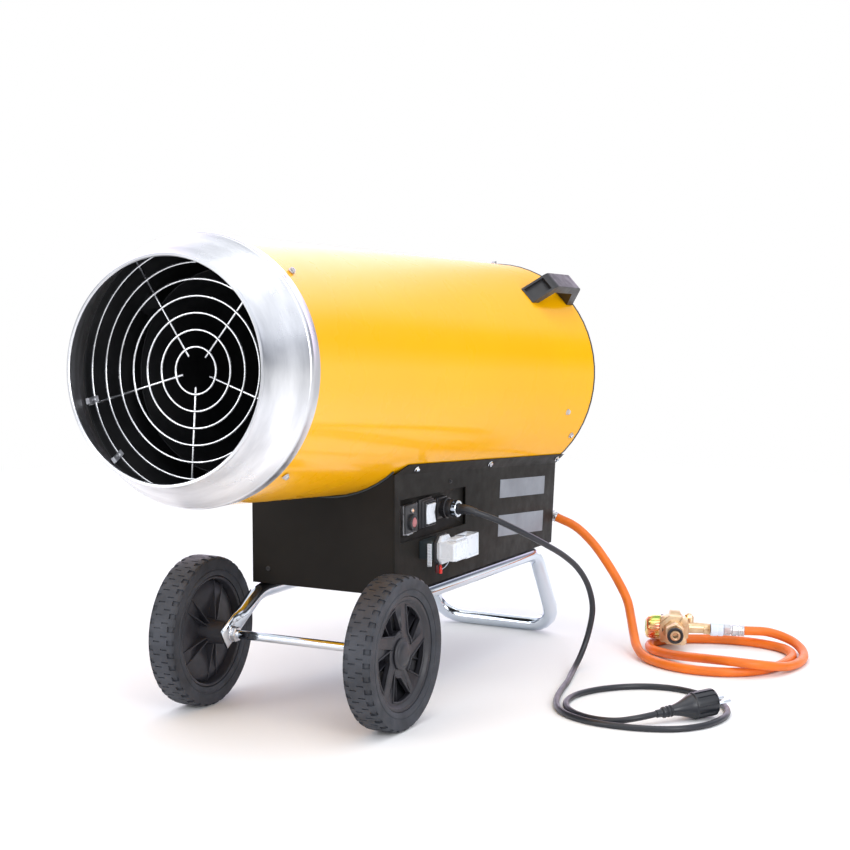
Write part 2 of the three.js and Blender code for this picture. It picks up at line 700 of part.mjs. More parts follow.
const resetBodyDepth = 8;
const resetBore = resetButtonRadius + gap;
const resetSeat = plateFace + gap + 1;                  // bottom of the button's bore
function buildResetBody() {
  const half = resetSize / 2;
  const face = plateFace + gap;
  const head = block([face, -half, -half - 2], [face + resetBodyDepth, half, half + 2]);
  const stem = block([plateBack - 16, -10.5, -10.5], [face + 1, 10.5, 10.5]);
  const bore = rodX(resetBore, resetSeat, resetSeat + 4 * resetBodyDepth, 28);
  return cut(join(head, stem), bore.translate(0, 0, -5)).translate(0, resetY, controlsZ);
}
function buildResetButton() {
  const seat = resetSeat + resetTravel + gap;
  const front = plateFace + gap + resetBodyDepth + resetButtonProud;
  const cap = rodX(resetButtonRadius, seat, front - 1, 28);
  const rim = rodX(resetButtonRadius - 1, front - 1.5, front, 28);
  return join(cap, rim).translate(0, resetY, controlsZ - 5);
}
function buildResetFrame() {
  const half = resetSize / 2;
  const x0 = plateFace + gap;
  const x1 = x0 + resetBodyDepth * 0.7;
  const t = 1.2;
  const side = half + gap;
  const low = -half - 2 - gap;
  const frontSide = block([x0, -side - t, low - t], [x1, -side, half + 2]);
  const rearSide = block([x0, side, low - t], [x1, side + t, half + 2]);
  const foot = block([x0, -side - t, low - t], [x1, side + t, low]);
  return join(frontSide, rearSide, foot).translate(0, resetY, controlsZ);
}

const rockerFront = plateFace + gap + 12;
const rockerPocket = 0.6;
const rockerPivotX = plateFace + gap + 4.5;
function buildRockerBezel() {
  const w = rockerBezelWidth / 2;
  const h = rockerBezelHeight / 2;
  const x0 = plateFace + gap;
  const steps = [
    block([x0, -w, -h], [x0 + 4, w, h]),
    block([x0 + 3.5, -w + 2, -h + 1.5], [x0 + 8, w - 2, h - 1.5]),
    block([x0 + 7.5, -w + 3.5, -h + 3], [rockerFront, w - 3.5, h - 3]),
    block([plateBack - 18, -14.5, -16.5], [x0 + 1, 14.5, 16.5])];
  const pocket = block([plateFace - 6, -rockerWidth / 2 - rockerPocket, -rockerHeight / 2 - rockerPocket],
    [rockerFront + 10, rockerWidth / 2 + rockerPocket, rockerHeight / 2 + rockerPocket]);
  return cut(join(...steps), pocket).translate(0, rockerY, controlsZ);
}
function buildRocker() {
  const w = rockerWidth / 2;
  const h = rockerHeight / 2 - 0.6;
  // side outline of the key about its pivot: a shallow V in front and a rounded back
  const outline = [[-4, -6], [1, -h + 2], [5.5, -h + 0.6], [9.5, -h + 0.6], [7, 0], [9.5, h - 0.6],
    [5.5, h - 0.6], [1, h - 2], [-4, 6]];
  return facePlate(outline, -w, w).translate(rockerPivotX, rockerY, controlsZ);
}

const inletFace = plateFace + gap + inletDepth;
function buildPowerInlet() {
  const half = inletFlange / 2;
  const flange = block([plateFace + gap, -half, -half], [plateFace + gap + 5, half, half]);
  const collar = rodX(connectorRadius - 1, plateFace + gap + 4, inletFace, 28);
  const stem = rodX(10.5, plateBack - 16, plateFace + gap + 1, 24);
  return join(flange, collar, stem).translate(0, inletY, inletZ);
}
const connectorFrom = inletFace + gap;
const nutFrom = connectorFrom + connectorLength + gap;
const cordExitX = nutFrom + clampNutLength;
function buildPowerConnector() {
  const barrel = turned([[0, connectorFrom], [connectorRadius + 1, connectorFrom],
    [connectorRadius + 1, connectorFrom + 5], [connectorRadius - 1, connectorFrom + 7],
    [connectorRadius - 1, connectorFrom + connectorLength], [0, connectorFrom + connectorLength]], 24);
  return barrel.rotateZ(-Math.PI / 2).translate(0, inletY, inletZ);
}
function buildClampNut() {
  const nut = turned([[0, nutFrom], [clampNutRadius, nutFrom], [clampNutRadius, cordExitX - 3],
    [clampNutRadius - 2.5, cordExitX], [0, cordExitX]], 12);
  return nut.rotateZ(-Math.PI / 2).translate(0, inletY, inletZ);
}

add(heater, 'control_plate', buildControlPlate(), blackPowderCoat);
add(heater, 'reset_body', buildResetBody(), blackPlastic);
add(heater, 'reset_button', buildResetButton(), redPlastic);
add(heater, 'reset_frame', buildResetFrame(), galvanised);
add(heater, 'rocker_bezel', buildRockerBezel(), softBlack);
add(heater, 'rocker_key', buildRocker(), whitePlastic);
add(heater, 'power_inlet', buildPowerInlet(), blackPlastic);
add(heater, 'power_connector', buildPowerConnector(), blackPlastic);
add(heater, 'clamp_nut', buildClampNut(), softBlack);

// Remote-control socket: block, gasket, flange and hood stand out from the side panel in turn.
const socketFrom = boxHalfWidth + gap;
const gasketFrom = socketFrom + socketBlock[0] + gap;
const flangeFrom = gasketFrom + socketGasketDepth + gap;
const hoodFrom = flangeFrom + socketFlangeDepth;

function cornerCut(half, corner) {
  return [[-half, -half + corner], [-half + corner, -half], [half - corner, -half], [half, -half + corner],
    [half, half - corner], [half - corner, half], [-half + corner, half], [-half, half - corner]];
}
const socketPlace = (geometry) => geometry.translate(0, socketY, socketZ);
function buildHood() {
  const flange = sidePlate(cornerCut(socketFlange / 2, 9), flangeFrom, hoodFrom);
  const shell = block([hoodFrom - 0.5, -hoodWidth / 2, -hoodHeight / 2],
    [hoodFrom + hoodDepth, hoodWidth / 2, hoodHeight / 2]);
  return socketPlace(join(flange, shell));
}
// The locking lever: two arms beside the hood and a grip behind it. The hinge line is along Z.
const leverPivot = [hoodFrom + hoodDepth / 2, socketY + leverPivotBack, socketZ];
function buildLever() {
  const half = hoodDepth / 2;
  const corner = Math.hypot(half, hoodWidth / 2 - leverPivotBack) + gap;
  const z0 = hoodHeight / 2 + gap;
  const z1 = z0 + leverThickness;
  const arm = (low, high) => block([-leverArm, -leverArm, low], [leverArm, corner + 1, high]);
  const grip = block([-half + 2, corner, -z1], [half - 2, corner + leverGrip, z1]);
  return join(arm(z0, z1), arm(-z1, -z0), grip).translate(...leverPivot);
}
add(heater, 'socket_block', socketPlace(block([socketFrom, -socketBlock[1] / 2, -socketBlock[2] / 2],
  [socketFrom + socketBlock[0], socketBlock[1] / 2, socketBlock[2] / 2])), softBlack);
add(heater, 'socket_gasket', socketPlace(sidePlate(cornerCut(socketFlange / 2 + 1.5, 9), gasketFrom,
  gasketFrom + socketGasketDepth)), blackPlastic);
add(heater, 'socket_hood', buildHood(), whitePlastic);
add(heater, 'socket_lever', buildLever(), whitePlastic);

// ---------------------------------------------------------------- inside the base box

const floorGap = sheet + gap;
const innerMargin = 20;             // from the side panel to the parts beside it
const transformerSize = [60, 80, 52];
const transformerY = 60;
const controlUnitSize = [64, 90, 38];
const controlUnitY = transformerY + transformerSize[1] + 25;
const valveSize = [44, 66, 42];
const valveY = controlUnitY + controlUnitSize[1] + 12 + valveSize[1] / 2;
const coilRadius = 14;
const coilHeight = 33;

// A box that stands on the base floor with its front face at y.
function onFloor(x, y, size) {
  const z = bottomZ(y) + floorGap;
  return block([x, y, z], [x + size[0], y + size[1], z + size[2]]);
}
const valveFront = valveY - valveSize[1] / 2;
const valveRear = valveY + valveSize[1] / 2;
const valveTop = bottomZ(valveFront) + floorGap + valveSize[2];
const leftX = -boxHalfWidth + innerMargin;
add(heater, 'ignition_transformer', onFloor(leftX, transformerY, transformerSize), softBlack);
add(heater, 'control_unit', onFloor(leftX, controlUnitY, controlUnitSize), motorGrey);
const coil = rodY(coilRadius, -1, coilHeight, 20).rotateX(Math.PI / 2)
  .translate(0, valveY - coilRadius, valveTop);
add(heater, 'gas_valve', join(onFloor(-valveSize[0] / 2, valveFront, valveSize), coil), brass);

// Supply pipe from the rear wall to the valve, and burner pipe from the valve up into the casing.
const valvePortZ = valveTop - valveSize[2] / 2;
const pipeLead = 3 * pipeRadius;    // straight length before a bend
function pipe(corners, bend) {
  const line = rounded(corners.map((p) => new THREE.Vector3(...p)), bend, 5);
  return sweep(line, () => circle(pipeRadius, 10));
}
function circle(radius, sides) {
  const angles = Array.from({ length: sides }, (_, i) => tau * i / sides);
  return angles.map((angle) => [radius * Math.cos(angle), radius * Math.sin(angle)]);
}
// Carries a section along a line, turning it no more than the line turns.
function sweep(line, sectionAt) {
  let tangent = line[1].clone().sub(line[0]).normalize();
  let side = Math.abs(tangent.x) < 0.9 ? new THREE.Vector3(1, 0, 0) : new THREE.Vector3(0, 0, 1);
  side.addScaledVector(tangent, -side.dot(tangent)).normalize();
  const sections = [];
  let travelled = 0;
  line.forEach((point, i) => {
    const from = line[Math.max(0, i - 1)];
    const to = line[Math.min(line.length - 1, i + 1)];
    const before = (i > 0 ? point.clone().sub(from) : to.clone().sub(point)).normalize();
    const after = i + 1 < line.length ? to.clone().sub(point).normalize() : before.clone();
    const heading = before.clone().add(after).normalize();
    side.applyQuaternion(new THREE.Quaternion().setFromUnitVectors(tangent, heading));
    tangent = heading;
    const other = heading.clone().cross(side);
    if (i > 0) travelled += point.distanceTo(line[i - 1]);
    const across = side.clone();
    sections.push(sectionAt(travelled, i).map(([a, b]) => (
      point.clone().addScaledVector(across, a).addScaledVector(other, b))));
  });
  return loft(sections);
}

const burnerTubeEnd = burnerAt + burnerDepth + burnerTubeLength;
const burnerPort = new THREE.Vector3(0, burnerTubeEnd + gap, 0).applyMatrix4(fromCasing);
const pipeRise = new THREE.Vector3(0, pipeHoleAt, 0).applyMatrix4(fromCasing);
const supplyFrom = valveRear + gap;
const supplyTo = boxRearBottomY - elbowInside - gap;
const supplyMiddle = (supplyFrom + supplyTo) / 2;
add(heater, 'supply_pipe', pipe([[0, supplyFrom, valvePortZ], [0, supplyMiddle, valvePortZ],
  [inletPipeX, supplyMiddle + pipeRadius, gasInletZ], [inletPipeX, supplyTo, gasInletZ]],
[pipeLead, pipeLead]), copper);
const bendZ = casingFloorZ(pipeRise.y) - 5 * pipeRadius;
const burnerPipeLine = [[0, valveFront - gap, valvePortZ], [0, valveFront - 2 * pipeLead, valvePortZ],
  [0, pipeRise.y, bendZ], [0, pipeRise.y, burnerPort.z - pipeRadius + 1], burnerPort.toArray()];
add(heater, 'burner_pipe', pipe(burnerPipeLine, [pipeLead, pipeLead, 12]), copper);
function casingFloorZ(y) {
  return axisZ(y) - casingRadius;
}

// ---------------------------------------------------------------- wheels, axle and frame

const tyreInnerX = wheelOuterX - tyreWidth;
function buildTyre() {
  const r = wheelRadius;
  const s = tyreShoulder;
  return turned([[tyreInner, tyreInnerX + 2], [r - s, tyreInnerX], [r, tyreInnerX + s], [r, wheelOuterX - s],
    [r - s, wheelOuterX], [tyreInner + 6, wheelOuterX - 1], [tyreInner, wheelOuterX - 3],
    [tyreInner, tyreInnerX + 2]], wheelSides).rotateZ(-Math.PI / 2);
}
function kidney() {
  const shape = new THREE.Shape();
  const sweepAngle = tau / windowCount * 0.62;
  const lead = 0.34;
  shape.absarc(0, 0, windowOuter, -sweepAngle / 2 + lead, sweepAngle / 2 + lead, false);
  shape.absarc(0, 0, windowInner, sweepAngle / 2 - lead * 0.4, -sweepAngle / 2 + lead * 0.2, true);
  return new THREE.ExtrudeGeometry(shape, { depth: 4 * webThickness, bevelEnabled: false, curveSegments: 4 });
}
function buildRim() {
  const outer = tyreInner - rimGap;
  const webOuter = wheelOuterX - webInset;
  const webInnerX = webOuter - webThickness;
  const bore = axleRadius + axleRunningGap;
  const hubIn = wheelOuterX - tyreWidth - 20;
  const hubFace = wheelOuterX - hubInset;
  const profile = turned([[bore, hubIn], [hubRadius, hubIn], [hubRadius + 3, webInnerX],
    [outer - 6, webInnerX], [outer - 4, tyreInnerX + 4], [outer, tyreInnerX + 3],
    [outer, wheelOuterX - 4], [outer - 4, wheelOuterX - 4], [outer - 8, webOuter],
    [hubRadius + 4, webOuter], [hubRadius, hubFace], [bore, hubFace], [bore, hubIn]], wheelSides);
  const windows = Array.from({ length: windowCount }, (_, i) => kidney()
    .rotateX(-Math.PI / 2).translate(0, webInnerX - webThickness, 0).rotateY(tau * i / windowCount));
  return cut(profile, ...windows).rotateZ(-Math.PI / 2);
}
const axleEnd = wheelOuterX - hubInset + 1;
function buildHubCap() {
  const from = wheelOuterX - hubInset + gap;
  const inside = axleEnd + gap;
  const skirt = hubCapRadius;
  return turned([[0, inside], [axleRadius + 1, inside], [axleRadius + 1, from], [skirt - 4, from],
    [skirt, from + 1.5], [skirt - 5, from + hubCapDome * 0.75], [skirt - 13, from + hubCapDome],
    [0, from + hubCapDome + 0.5]], 24).rotateZ(-Math.PI / 2);
}

for (const [side, sign] of [['right', 1], ['left', -1]]) {
  const wheel = new THREE.Group();
  wheel.position.set(0, axleY, wheelRadius);
  if (sign < 0) wheel.rotation.z = Math.PI;
  heater.add(wheel);
  add(wheel, `tyre_${side}`, buildTyre(), tyreRubber);
  add(wheel, `rim_${side}`, buildRim(), blackPlastic);
  add(wheel, `hub_cap_${side}`, buildHubCap(), blackPlastic);
}
add(heater, 'axle', rodX(axleRadius, -axleEnd, axleEnd, 24).translate(0, axleY, wheelRadius), chrome);

function buildFrame() {
  const along = new THREE.Vector3(0, Math.cos(inclineAngle), Math.sin(inclineAngle));
  const above = new THREE.Vector3(0, -Math.sin(inclineAngle), Math.cos(inclineAngle));
  const axle = new THREE.Vector3(0, axleY, wheelRadius);
  const centre = axle.clone().addScaledVector(above, plateOffset);
  const onTube = (distance) => centre.clone().addScaledVector(along, distance);
  const railZ = (y) => bottomZ(y) - gap - frameRadius - 0.3;
  const bendAt = (railZ(railFrontY) - centre.z) / Math.sin(inclineAngle);
  const rail = onTube(bendAt);
  const half = [onTube(-plateLead), onTube(plateTail), onTube(plateTail + 9), onTube(plateTail + 20), rail,
    new THREE.Vector3(0, railRearY, railZ(railRearY)), new THREE.Vector3(0, footY, frameRadius)];
  const onSide = (x) => half.map((p) => p.clone().setX(x));
  const left = onSide(-railX);
  const right = onSide(railX).reverse();
  const bends = [0.5, 0.5, 0.5, railBend, kneeBend, footBend];
  const line = rounded([...left, ...right], [...bends, ...[...bends].reverse()], 5);
  const length = line.reduce((sum, p, i) => sum + (i ? p.distanceTo(line[i - 1]) : 0), 0);
  const flatUntil = plateLead + plateTail;
  const roundFrom = flatUntil + 24;
  const tube = sweep(line, (travelled) => {
    const fromEnd = Math.min(travelled, length - travelled);
    const share = Math.min(1, Math.max(0, (fromEnd - flatUntil) / (roundFrom - flatUntil)));
    const thick = THREE.MathUtils.lerp(plateThickness / 2, frameRadius, share);
    const tall = THREE.MathUtils.lerp(plateHeight / 2, frameRadius, share);
    return circle(1, 12).map(([a, b]) => {
      const square = 1 - share;
      const stretch = 1 / Math.max(Math.abs(a), Math.abs(b));
      const k = THREE.MathUtils.lerp(1, stretch, square);
      return [a * k * thick, b * k * tall];
    });
  });
  const bore = rodX(axleRadius + gap, -railX - 20, railX + 20, 24).translate(0, axleY, wheelRadius);
  return cut(tube, bore);
}
add(heater, 'frame_tube', buildFrame(), chrome);

// ---------------------------------------------------------------- gas inlet, hose and regulator

function buildInletElbow() {
  const line = rounded([new THREE.Vector3(inletPipeX, boxRearBottomY - elbowInside, gasInletZ),
    elbowCorner, elbowEnd], [6], 6);
  const body = sweep(line, () => circle(6, 12));
  const rise = (gasInletZ + bulkheadRadius - boxRearZ) / (foldZ(boxRearTopY) - boxRearZ);
  const panelY = boxRearBottomY + (boxRearTopY - boxRearBottomY) * rise;
  const nut = new THREE.CylinderGeometry(bulkheadRadius, bulkheadRadius, bulkheadLength, 6)
    .translate(inletPipeX, panelY + gap + bulkheadLength / 2, gasInletZ);
  return join(body, nut);
}
// A turned piece whose +Y is laid along a direction from a point.
function laid(geometry, from, heading) {
  const turn = new THREE.Quaternion().setFromUnitVectors(new THREE.Vector3(0, 1, 0), heading);
  return geometry.applyQuaternion(turn).translate(from.x, from.y, from.z);
}
add(heater, 'gas_inlet_elbow', buildInletElbow(), brass);
const ferruleShape = turned([[0, 0], [ferruleRadius, 0], [ferruleRadius, 2], [ferruleRadius - 1, 3],
  [ferruleRadius - 1, ferruleLength], [0, ferruleLength]], 20);
const ferruleFrom = hoseStart.clone().addScaledVector(hoseHeading, -ferruleLength - gap);
add(heater, 'hose_ferrule', laid(ferruleShape, ferruleFrom, hoseHeading), galvanised);

// The regulator's own frame: +Y runs from the cap to the hose, y = 0 is where the hose begins.
const regulatorAxis = routeCurve(hoseRoute).getTangent(1).negate();
const regulator = new THREE.Group();
regulator.position.set(...hoseRoute[hoseRoute.length - 1]);
regulator.quaternion.setFromRotationMatrix(new THREE.Matrix4().makeBasis(
  regulatorAxis.clone().cross(new THREE.Vector3(0, 0, 1)).normalize(), regulatorAxis,
  regulatorAxis.clone().cross(new THREE.Vector3(0, 0, 1)).normalize().cross(regulatorAxis)));
heater.add(regulator);

const crimpFrom = -gap - crimpLength;
const collarFrom = crimpFrom - gap - collarLength;
const outletFrom = collarFrom - gap - outletLength;
const bodyFrom = outletFrom - regulatorBodyLength + 4;
const capFrom = bodyFrom - gap - capLength;
function buildRegulatorBody() {
  const drum = turned([[0, bodyFrom], [capRadius - 1, bodyFrom], [capRadius + 1, bodyFrom + 7],
    [regulatorBodyRadius, bodyFrom + 9], [regulatorBodyRadius, bodyFrom + regulatorBodyLength - 7],
    [regulatorBodyRadius - 9, bodyFrom + regulatorBodyLength - 1], [8, bodyFrom + regulatorBodyLength],
    [0, bodyFrom + regulatorBodyLength]], 28);
  const outletEnd = outletFrom + outletLength;
  const outlet = turned([[0, outletFrom - 2], [9.5, outletFrom - 2], [8.5, outletFrom + 12],
    [7.4, outletEnd], [0, outletEnd]], 20);
  const testPort = rodY(5, 0, 16, 12).rotateX(Math.PI / 2).translate(0, outletFrom + 14, 0);
  const spigot = rodX(spigotRadius, 0, spigotEnd, 20).translate(0, bodyFrom + regulatorBodyLength / 2, 0);
  return join(drum, outlet, testPort, spigot);
}
const spigotRadius = 9.5;
const spigotEnd = regulatorBodyRadius + inletReach;
const nutStart = spigotEnd - inletNutLength - 2;
function buildInletNut() {
  const at = bodyFrom + regulatorBodyLength / 2;
  const nut = new THREE.CylinderGeometry(inletNutRadius, inletNutRadius, inletNutLength, 6)
    .rotateZ(-Math.PI / 2).translate(nutStart + inletNutLength / 2, 0, 0);
  return cut(nut, rodX(spigotRadius + gap, 0, 2 * spigotEnd, 20)).translate(0, at, 0);
}
const sealRadius = 12;
const sealLength = 6;
const gasBoreRadius = 4;
function buildSealRing() {
  const at = bodyFrom + regulatorBodyLength / 2;
  const seal = rodX(sealRadius, spigotEnd + gap, spigotEnd + sealLength, 20);
  return cut(seal, rodX(gasBoreRadius, 0, 2 * spigotEnd, 12)).translate(0, at, 0);
}
add(regulator, 'regulator_body', buildRegulatorBody(), brass);
add(regulator, 'regulator_cap', turned([[0, capFrom], [capRadius - 6, capFrom], [capRadius - 3, capFrom + 3],
  [capRadius, capFrom + capLength - 4], [capRadius + 2, capFrom + capLength - 3],
  [capRadius + 2, capFrom + capLength], [0, capFrom + capLength]], 24), yellowZinc);
add(regulator, 'regulator_inlet_nut', buildInletNut(), brass);
add(regulator, 'regulator_seal', buildSealRing(), softBlack);
add(regulator, 'outlet_collar', turned([[0, collarFrom], [collarRadius, collarFrom],
  [collarRadius, collarFrom + collarLength], [0, collarFrom + collarLength]], 12), whitePlastic);
const crimpEnd = crimpFrom + crimpLength;
add(regulator, 'hose_crimp', turned([[0, crimpFrom], [8, crimpFrom], [8, crimpFrom + 8],
  [6, crimpFrom + 9], [6, crimpFrom + 11], [8.6, crimpFrom + 12], [8.6, crimpEnd], [0, crimpEnd]], 16),
galvanised);
add(heater, 'gas_hose', cable(hoseRoute, hoseRadius, 10, 2.2 * hoseRadius * 2), hoseOrange);

// ---------------------------------------------------------------- mains lead and plug

add(heater, 'power_cord', cable(cordRoute, cordRadius, 8, 2.3 * cordRadius * 2), softBlack);

const plugAxis = routeCurve(cordRoute).getTangent(1);
const plugStart = new THREE.Vector3(...cordRoute[cordRoute.length - 1]).addScaledVector(plugAxis, gap);
const plugEnd = plugNeckLength + plugHeadLength;
const plugShape = turned([[0, 0], [cordRadius + 1.2, 0], [cordRadius + 3.2, plugNeckLength - 14],
  [11, plugNeckLength - 9], [plugRadius - 3, plugNeckLength], [plugRadius, plugNeckLength + 6],
  [plugRadius, plugEnd - 3], [plugRadius - 2, plugEnd], [0, plugEnd]], 28);
add(heater, 'mains_plug', laid(plugShape, plugStart, plugAxis), softBlack);
const pinAcross = new THREE.Vector3(0, 0, 1).cross(plugAxis).normalize();
for (const [name, sign] of [['plug_pin_a', 1], ['plug_pin_b', -1]]) {
  const base = plugStart.clone().addScaledVector(plugAxis, plugEnd + gap)
    .addScaledVector(pinAcross, sign * pinSpacing / 2);
  add(heater, name, laid(turned([[0, 0], [pinRadius, 0], [pinRadius, pinLength - 1.5], [0, pinLength]], 12),
    base, plugAxis), chrome);
}

export default heater;
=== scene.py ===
import itertools
import math
import bpy
from mathutils import Matrix, Vector


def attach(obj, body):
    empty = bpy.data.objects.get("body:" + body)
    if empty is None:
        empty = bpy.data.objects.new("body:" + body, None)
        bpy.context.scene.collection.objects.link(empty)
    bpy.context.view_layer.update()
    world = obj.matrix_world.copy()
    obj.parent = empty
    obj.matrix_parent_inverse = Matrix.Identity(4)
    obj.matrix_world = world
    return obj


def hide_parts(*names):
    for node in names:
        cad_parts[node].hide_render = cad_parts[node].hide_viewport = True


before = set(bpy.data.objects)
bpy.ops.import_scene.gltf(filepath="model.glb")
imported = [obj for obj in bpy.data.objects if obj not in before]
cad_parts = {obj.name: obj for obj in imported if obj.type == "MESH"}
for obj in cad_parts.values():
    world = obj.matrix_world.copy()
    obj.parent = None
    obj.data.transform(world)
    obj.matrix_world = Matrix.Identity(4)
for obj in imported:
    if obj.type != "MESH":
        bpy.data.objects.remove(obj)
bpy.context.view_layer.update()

# ---------------------------------------------------------------- measures, in metres

CASING_LEAN = math.radians(5.73)
CASING_FRONT = Vector((0, -0.384, 0.481))
CASING_RADIUS = 0.165
WHEEL_RADIUS = 0.101
AXLE_Y = -0.1545
AXLE_NUT_X = 0.0966
BOX_SIDE = 0.1095
CORD_DIAMETER = 0.0085
HOSE_DIAMETER = 0.0134

# Where a point of the casing goes: x across, s back along its axis, n up from it.
CASING = Matrix.Translation(CASING_FRONT) @ Matrix.Rotation(-CASING_LEAN, 4, "X")


# ---------------------------------------------------------------- camera

def set_camera():
    bpy.ops.object.camera_add(location=(1.5145, -2.7009, 0.7805),
                              rotation=(math.pi / 2 - 0.132, 0, 0.479))
    camera = bpy.context.object
    camera.name = "camera"
    camera.data.sensor_width = 36
    camera.data.lens = 97.31
    camera.data.clip_end = 40
    bpy.context.scene.camera = camera


set_camera()

# ---------------------------------------------------------------- cords

CORD_ROUTE = [
    (136.7, 55, 256.5), (146, 55.2, 256.3), (160, 60, 252.3), (177, 73, 244), (195, 94, 230.5),
    (209, 124, 214), (220, 160, 195.5), (228, 198, 175.7), (235, 233, 151.5), (239, 260, 121.6),
    (239, 276, 86.6), (233, 277, 51.5), (228, 263, 22), (229, 237, 7.2), (237, 206, 4.5), (248, 170, 4.4),
    (258, 130, 4.3), (269, 90, 4.3), (283, 53, 4.3), (303, 20, 4.3), (330, -3, 4.3), (364, -17, 4.3),
    (403, -20, 4.3), (442, -14, 4.3), (476, 2, 4.3), (499, 30, 4.3), (509, 65, 4.3), (507, 103, 4.3),
    (491, 138, 4.3), (463, 167, 4.3), (430, 189, 4.3), (395, 199, 4.3), (360, 194, 4.3), (328, 174, 4.3),
    (303, 143, 4.3), (290, 106, 4.3), (292, 68, 4.3), (308, 34, 4.4), (335, 9, 4.4), (368, -3, 4.8),
    (396, -3, 6.6), (417.4, 8.3, 9.8), (436, 29, 12.7)]
HOSE_ROUTE = [
    (100, 460, 179.4), (129, 463, 167.4), (157, 461, 146.7), (183, 455, 120.7), (207, 446, 93.7),
    (228, 433, 67.9), (242, 415, 45.1), (255, 394, 27.4), (269, 371, 15.6), (287, 349, 9.3),
    (311, 329, 6.9), (340, 313, 6.8), (374, 304, 6.8), (410, 305, 6.8), (442, 317, 6.8), (467, 342, 6.8),
    (481, 377, 6.8), (485, 418, 6.8), (479, 455, 6.8), (459, 485, 6.8), (427, 502, 6.8), (388, 508, 6.8),
    (347, 502, 6.8), (309, 487, 6.8), (278, 462, 6.8), (268, 430, 6.8), (281, 399, 6.8), (313, 375, 8.2),
    (350, 350, 13), (389, 331, 18), (426, 318, 21.4), (458, 318, 21.2), (482, 337, 16.5), (497, 368, 10),
    (503, 407, 7.4), (499, 447, 7.6), (485, 478, 11.8), (460, 501, 18), (424, 507, 24.8),
    (391.5, 492.3, 26.6)]


def blend(first, last, start, stop, t):
    return first * ((stop - t) / (stop - start)) + last * ((t - start) / (stop - start))


def smooth_line(route, per_span):
    """The route's points in metres, with a smooth curve between them that keeps to its spacing."""
    points = [Vector(p) / 1000 for p in route]
    ends = [2 * points[0] - points[1], *points, 2 * points[-1] - points[-2]]
    line = []
    for i in range(1, len(ends) - 2):
        a, b, c, d = ends[i - 1:i + 3]
        knots = [0.0]
        for start, stop in ((a, b), (b, c), (c, d)):
            knots.append(knots[-1] + math.sqrt((stop - start).length))
        k0, k1, k2, k3 = knots
        for step in range(per_span):
            t = k1 + (k2 - k1) * step / per_span
            ab, bc, cd = blend(a, b, k0, k1, t), blend(b, c, k1, k2, t), blend(c, d, k2, k3, t)
            abc, bcd = blend(ab, bc, k0, k2, t), blend(bc, cd, k1, k3, t)
            line.append(blend(abc, bcd, k1, k2, t))
    line.append(points[-1])
    return line


def lay_cord(name, route, diameter):
    """A round curve, its half thickness held by the points' radius, which a curve's box takes as padding."""
    line = smooth_line(route, 6)
    data = bpy.data.curves.new(name, "CURVE")
    data.dimensions = "3D"
    data.bevel_depth = 1
    data.bevel_resolution = 4
    data.use_fill_caps = True
    spline = data.splines.new("POLY")
    spline.points.add(len(line) - 1)
    for point, place in zip(spline.points, line):
        point.co = (*place, 1)
        point.radius = diameter / 2
    spline.use_smooth = True
    cord = bpy.data.objects.new(name, data)
    bpy.context.collection.objects.link(cord)
    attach(cord, "heater")
    length = sum((b - a).length for a, b in zip(line, line[1:]))
    return cord, line, length


mains_lead, lead_line, lead_length = lay_cord("mains_lead", CORD_ROUTE, CORD_DIAMETER)
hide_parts("power_cord")
gas_hose, hose_line, hose_length = lay_cord("rubber_hose", HOSE_ROUTE, HOSE_DIAMETER)
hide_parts("gas_hose")


# ---------------------------------------------------------------- finishes

def blank_finish(name, colour, roughness, metallic=0.0, specular=0.5):
    material = bpy.data.materials.new(name)
    material.use_nodes = True
    shader = material.node_tree.nodes["Principled BSDF"]
    shader.inputs["Base Color"].default_value = (*colour, 1)
    shader.inputs["Roughness"].default_value = roughness
    shader.inputs["Metallic"].default_value = metallic
    shader.inputs["Specular IOR Level"].default_value = specular
    material.diffuse_color = (*colour, 1)
    return material, shader


def add_node(tree, kind, inputs=(), **settings):
    """A node with its settings. Each input takes a value, or what another node puts out."""
    node = tree.nodes.new(f"ShaderNode{kind}")
    for name, value in settings.items():
        setattr(node, name, value)
    for name, value in dict(inputs).items():
        if isinstance(value, bpy.types.NodeSocket):
            tree.links.new(value, node.inputs[name])
        else:
            node.inputs[name].default_value = value
    return node.outputs


def noise(material, scale, detail, stretch=1, lean=0.0):
    """Noise over the object's own coordinates; a stretch above 1 makes it finer along Y."""
    tree = material.node_tree
    mapping = add_node(tree, "Mapping", {
        "Vector": add_node(tree, "TexCoord")["Object"], "Scale": (1, 1 / stretch, 1),
        "Rotation": (-lean, 0, 0)}, vector_type="TEXTURE")
    return add_node(tree, "TexNoise", {"Vector": mapping["Vector"], "Scale": scale,
                                       "Detail": detail})["Fac"]


def mottled(material, shader, fac, dark, light, low=0.3, high=0.7):
    """The base colour runs from dark to light with the texture."""
    colour = add_node(material.node_tree, "ValToRGB", {"Fac": fac})["Color"]
    ramp = colour.node.color_ramp
    for element, position, shade in zip(ramp.elements, (low, high), (dark, light)):
        element.position = position
        element.color = (*shade, 1)
    material.node_tree.links.new(colour, shader.inputs["Base Color"])
    return ramp


def rising(tree, value, start, stop, low=0.0, high=1.0):
    """Runs from low to high while a value goes from start to stop."""
    return add_node(tree, "MapRange", {"Value": value, "From Min": start, "From Max": stop,
                                       "To Min": low, "To Max": high})["Result"]


def sheen_range(material, shader, fac, smooth, rough):
    """The roughness runs from smooth to rough with the texture."""
    tree = material.node_tree
    tree.links.new(rising(tree, fac, 0.3, 0.7, smooth, rough), shader.inputs["Roughness"])


def relief(material, shader, fac, strength, distance):
    bump = add_node(material.node_tree, "Bump", {"Height": fac, "Strength": strength, "Distance": distance})
    material.node_tree.links.new(bump["Normal"], shader.inputs["Normal"])


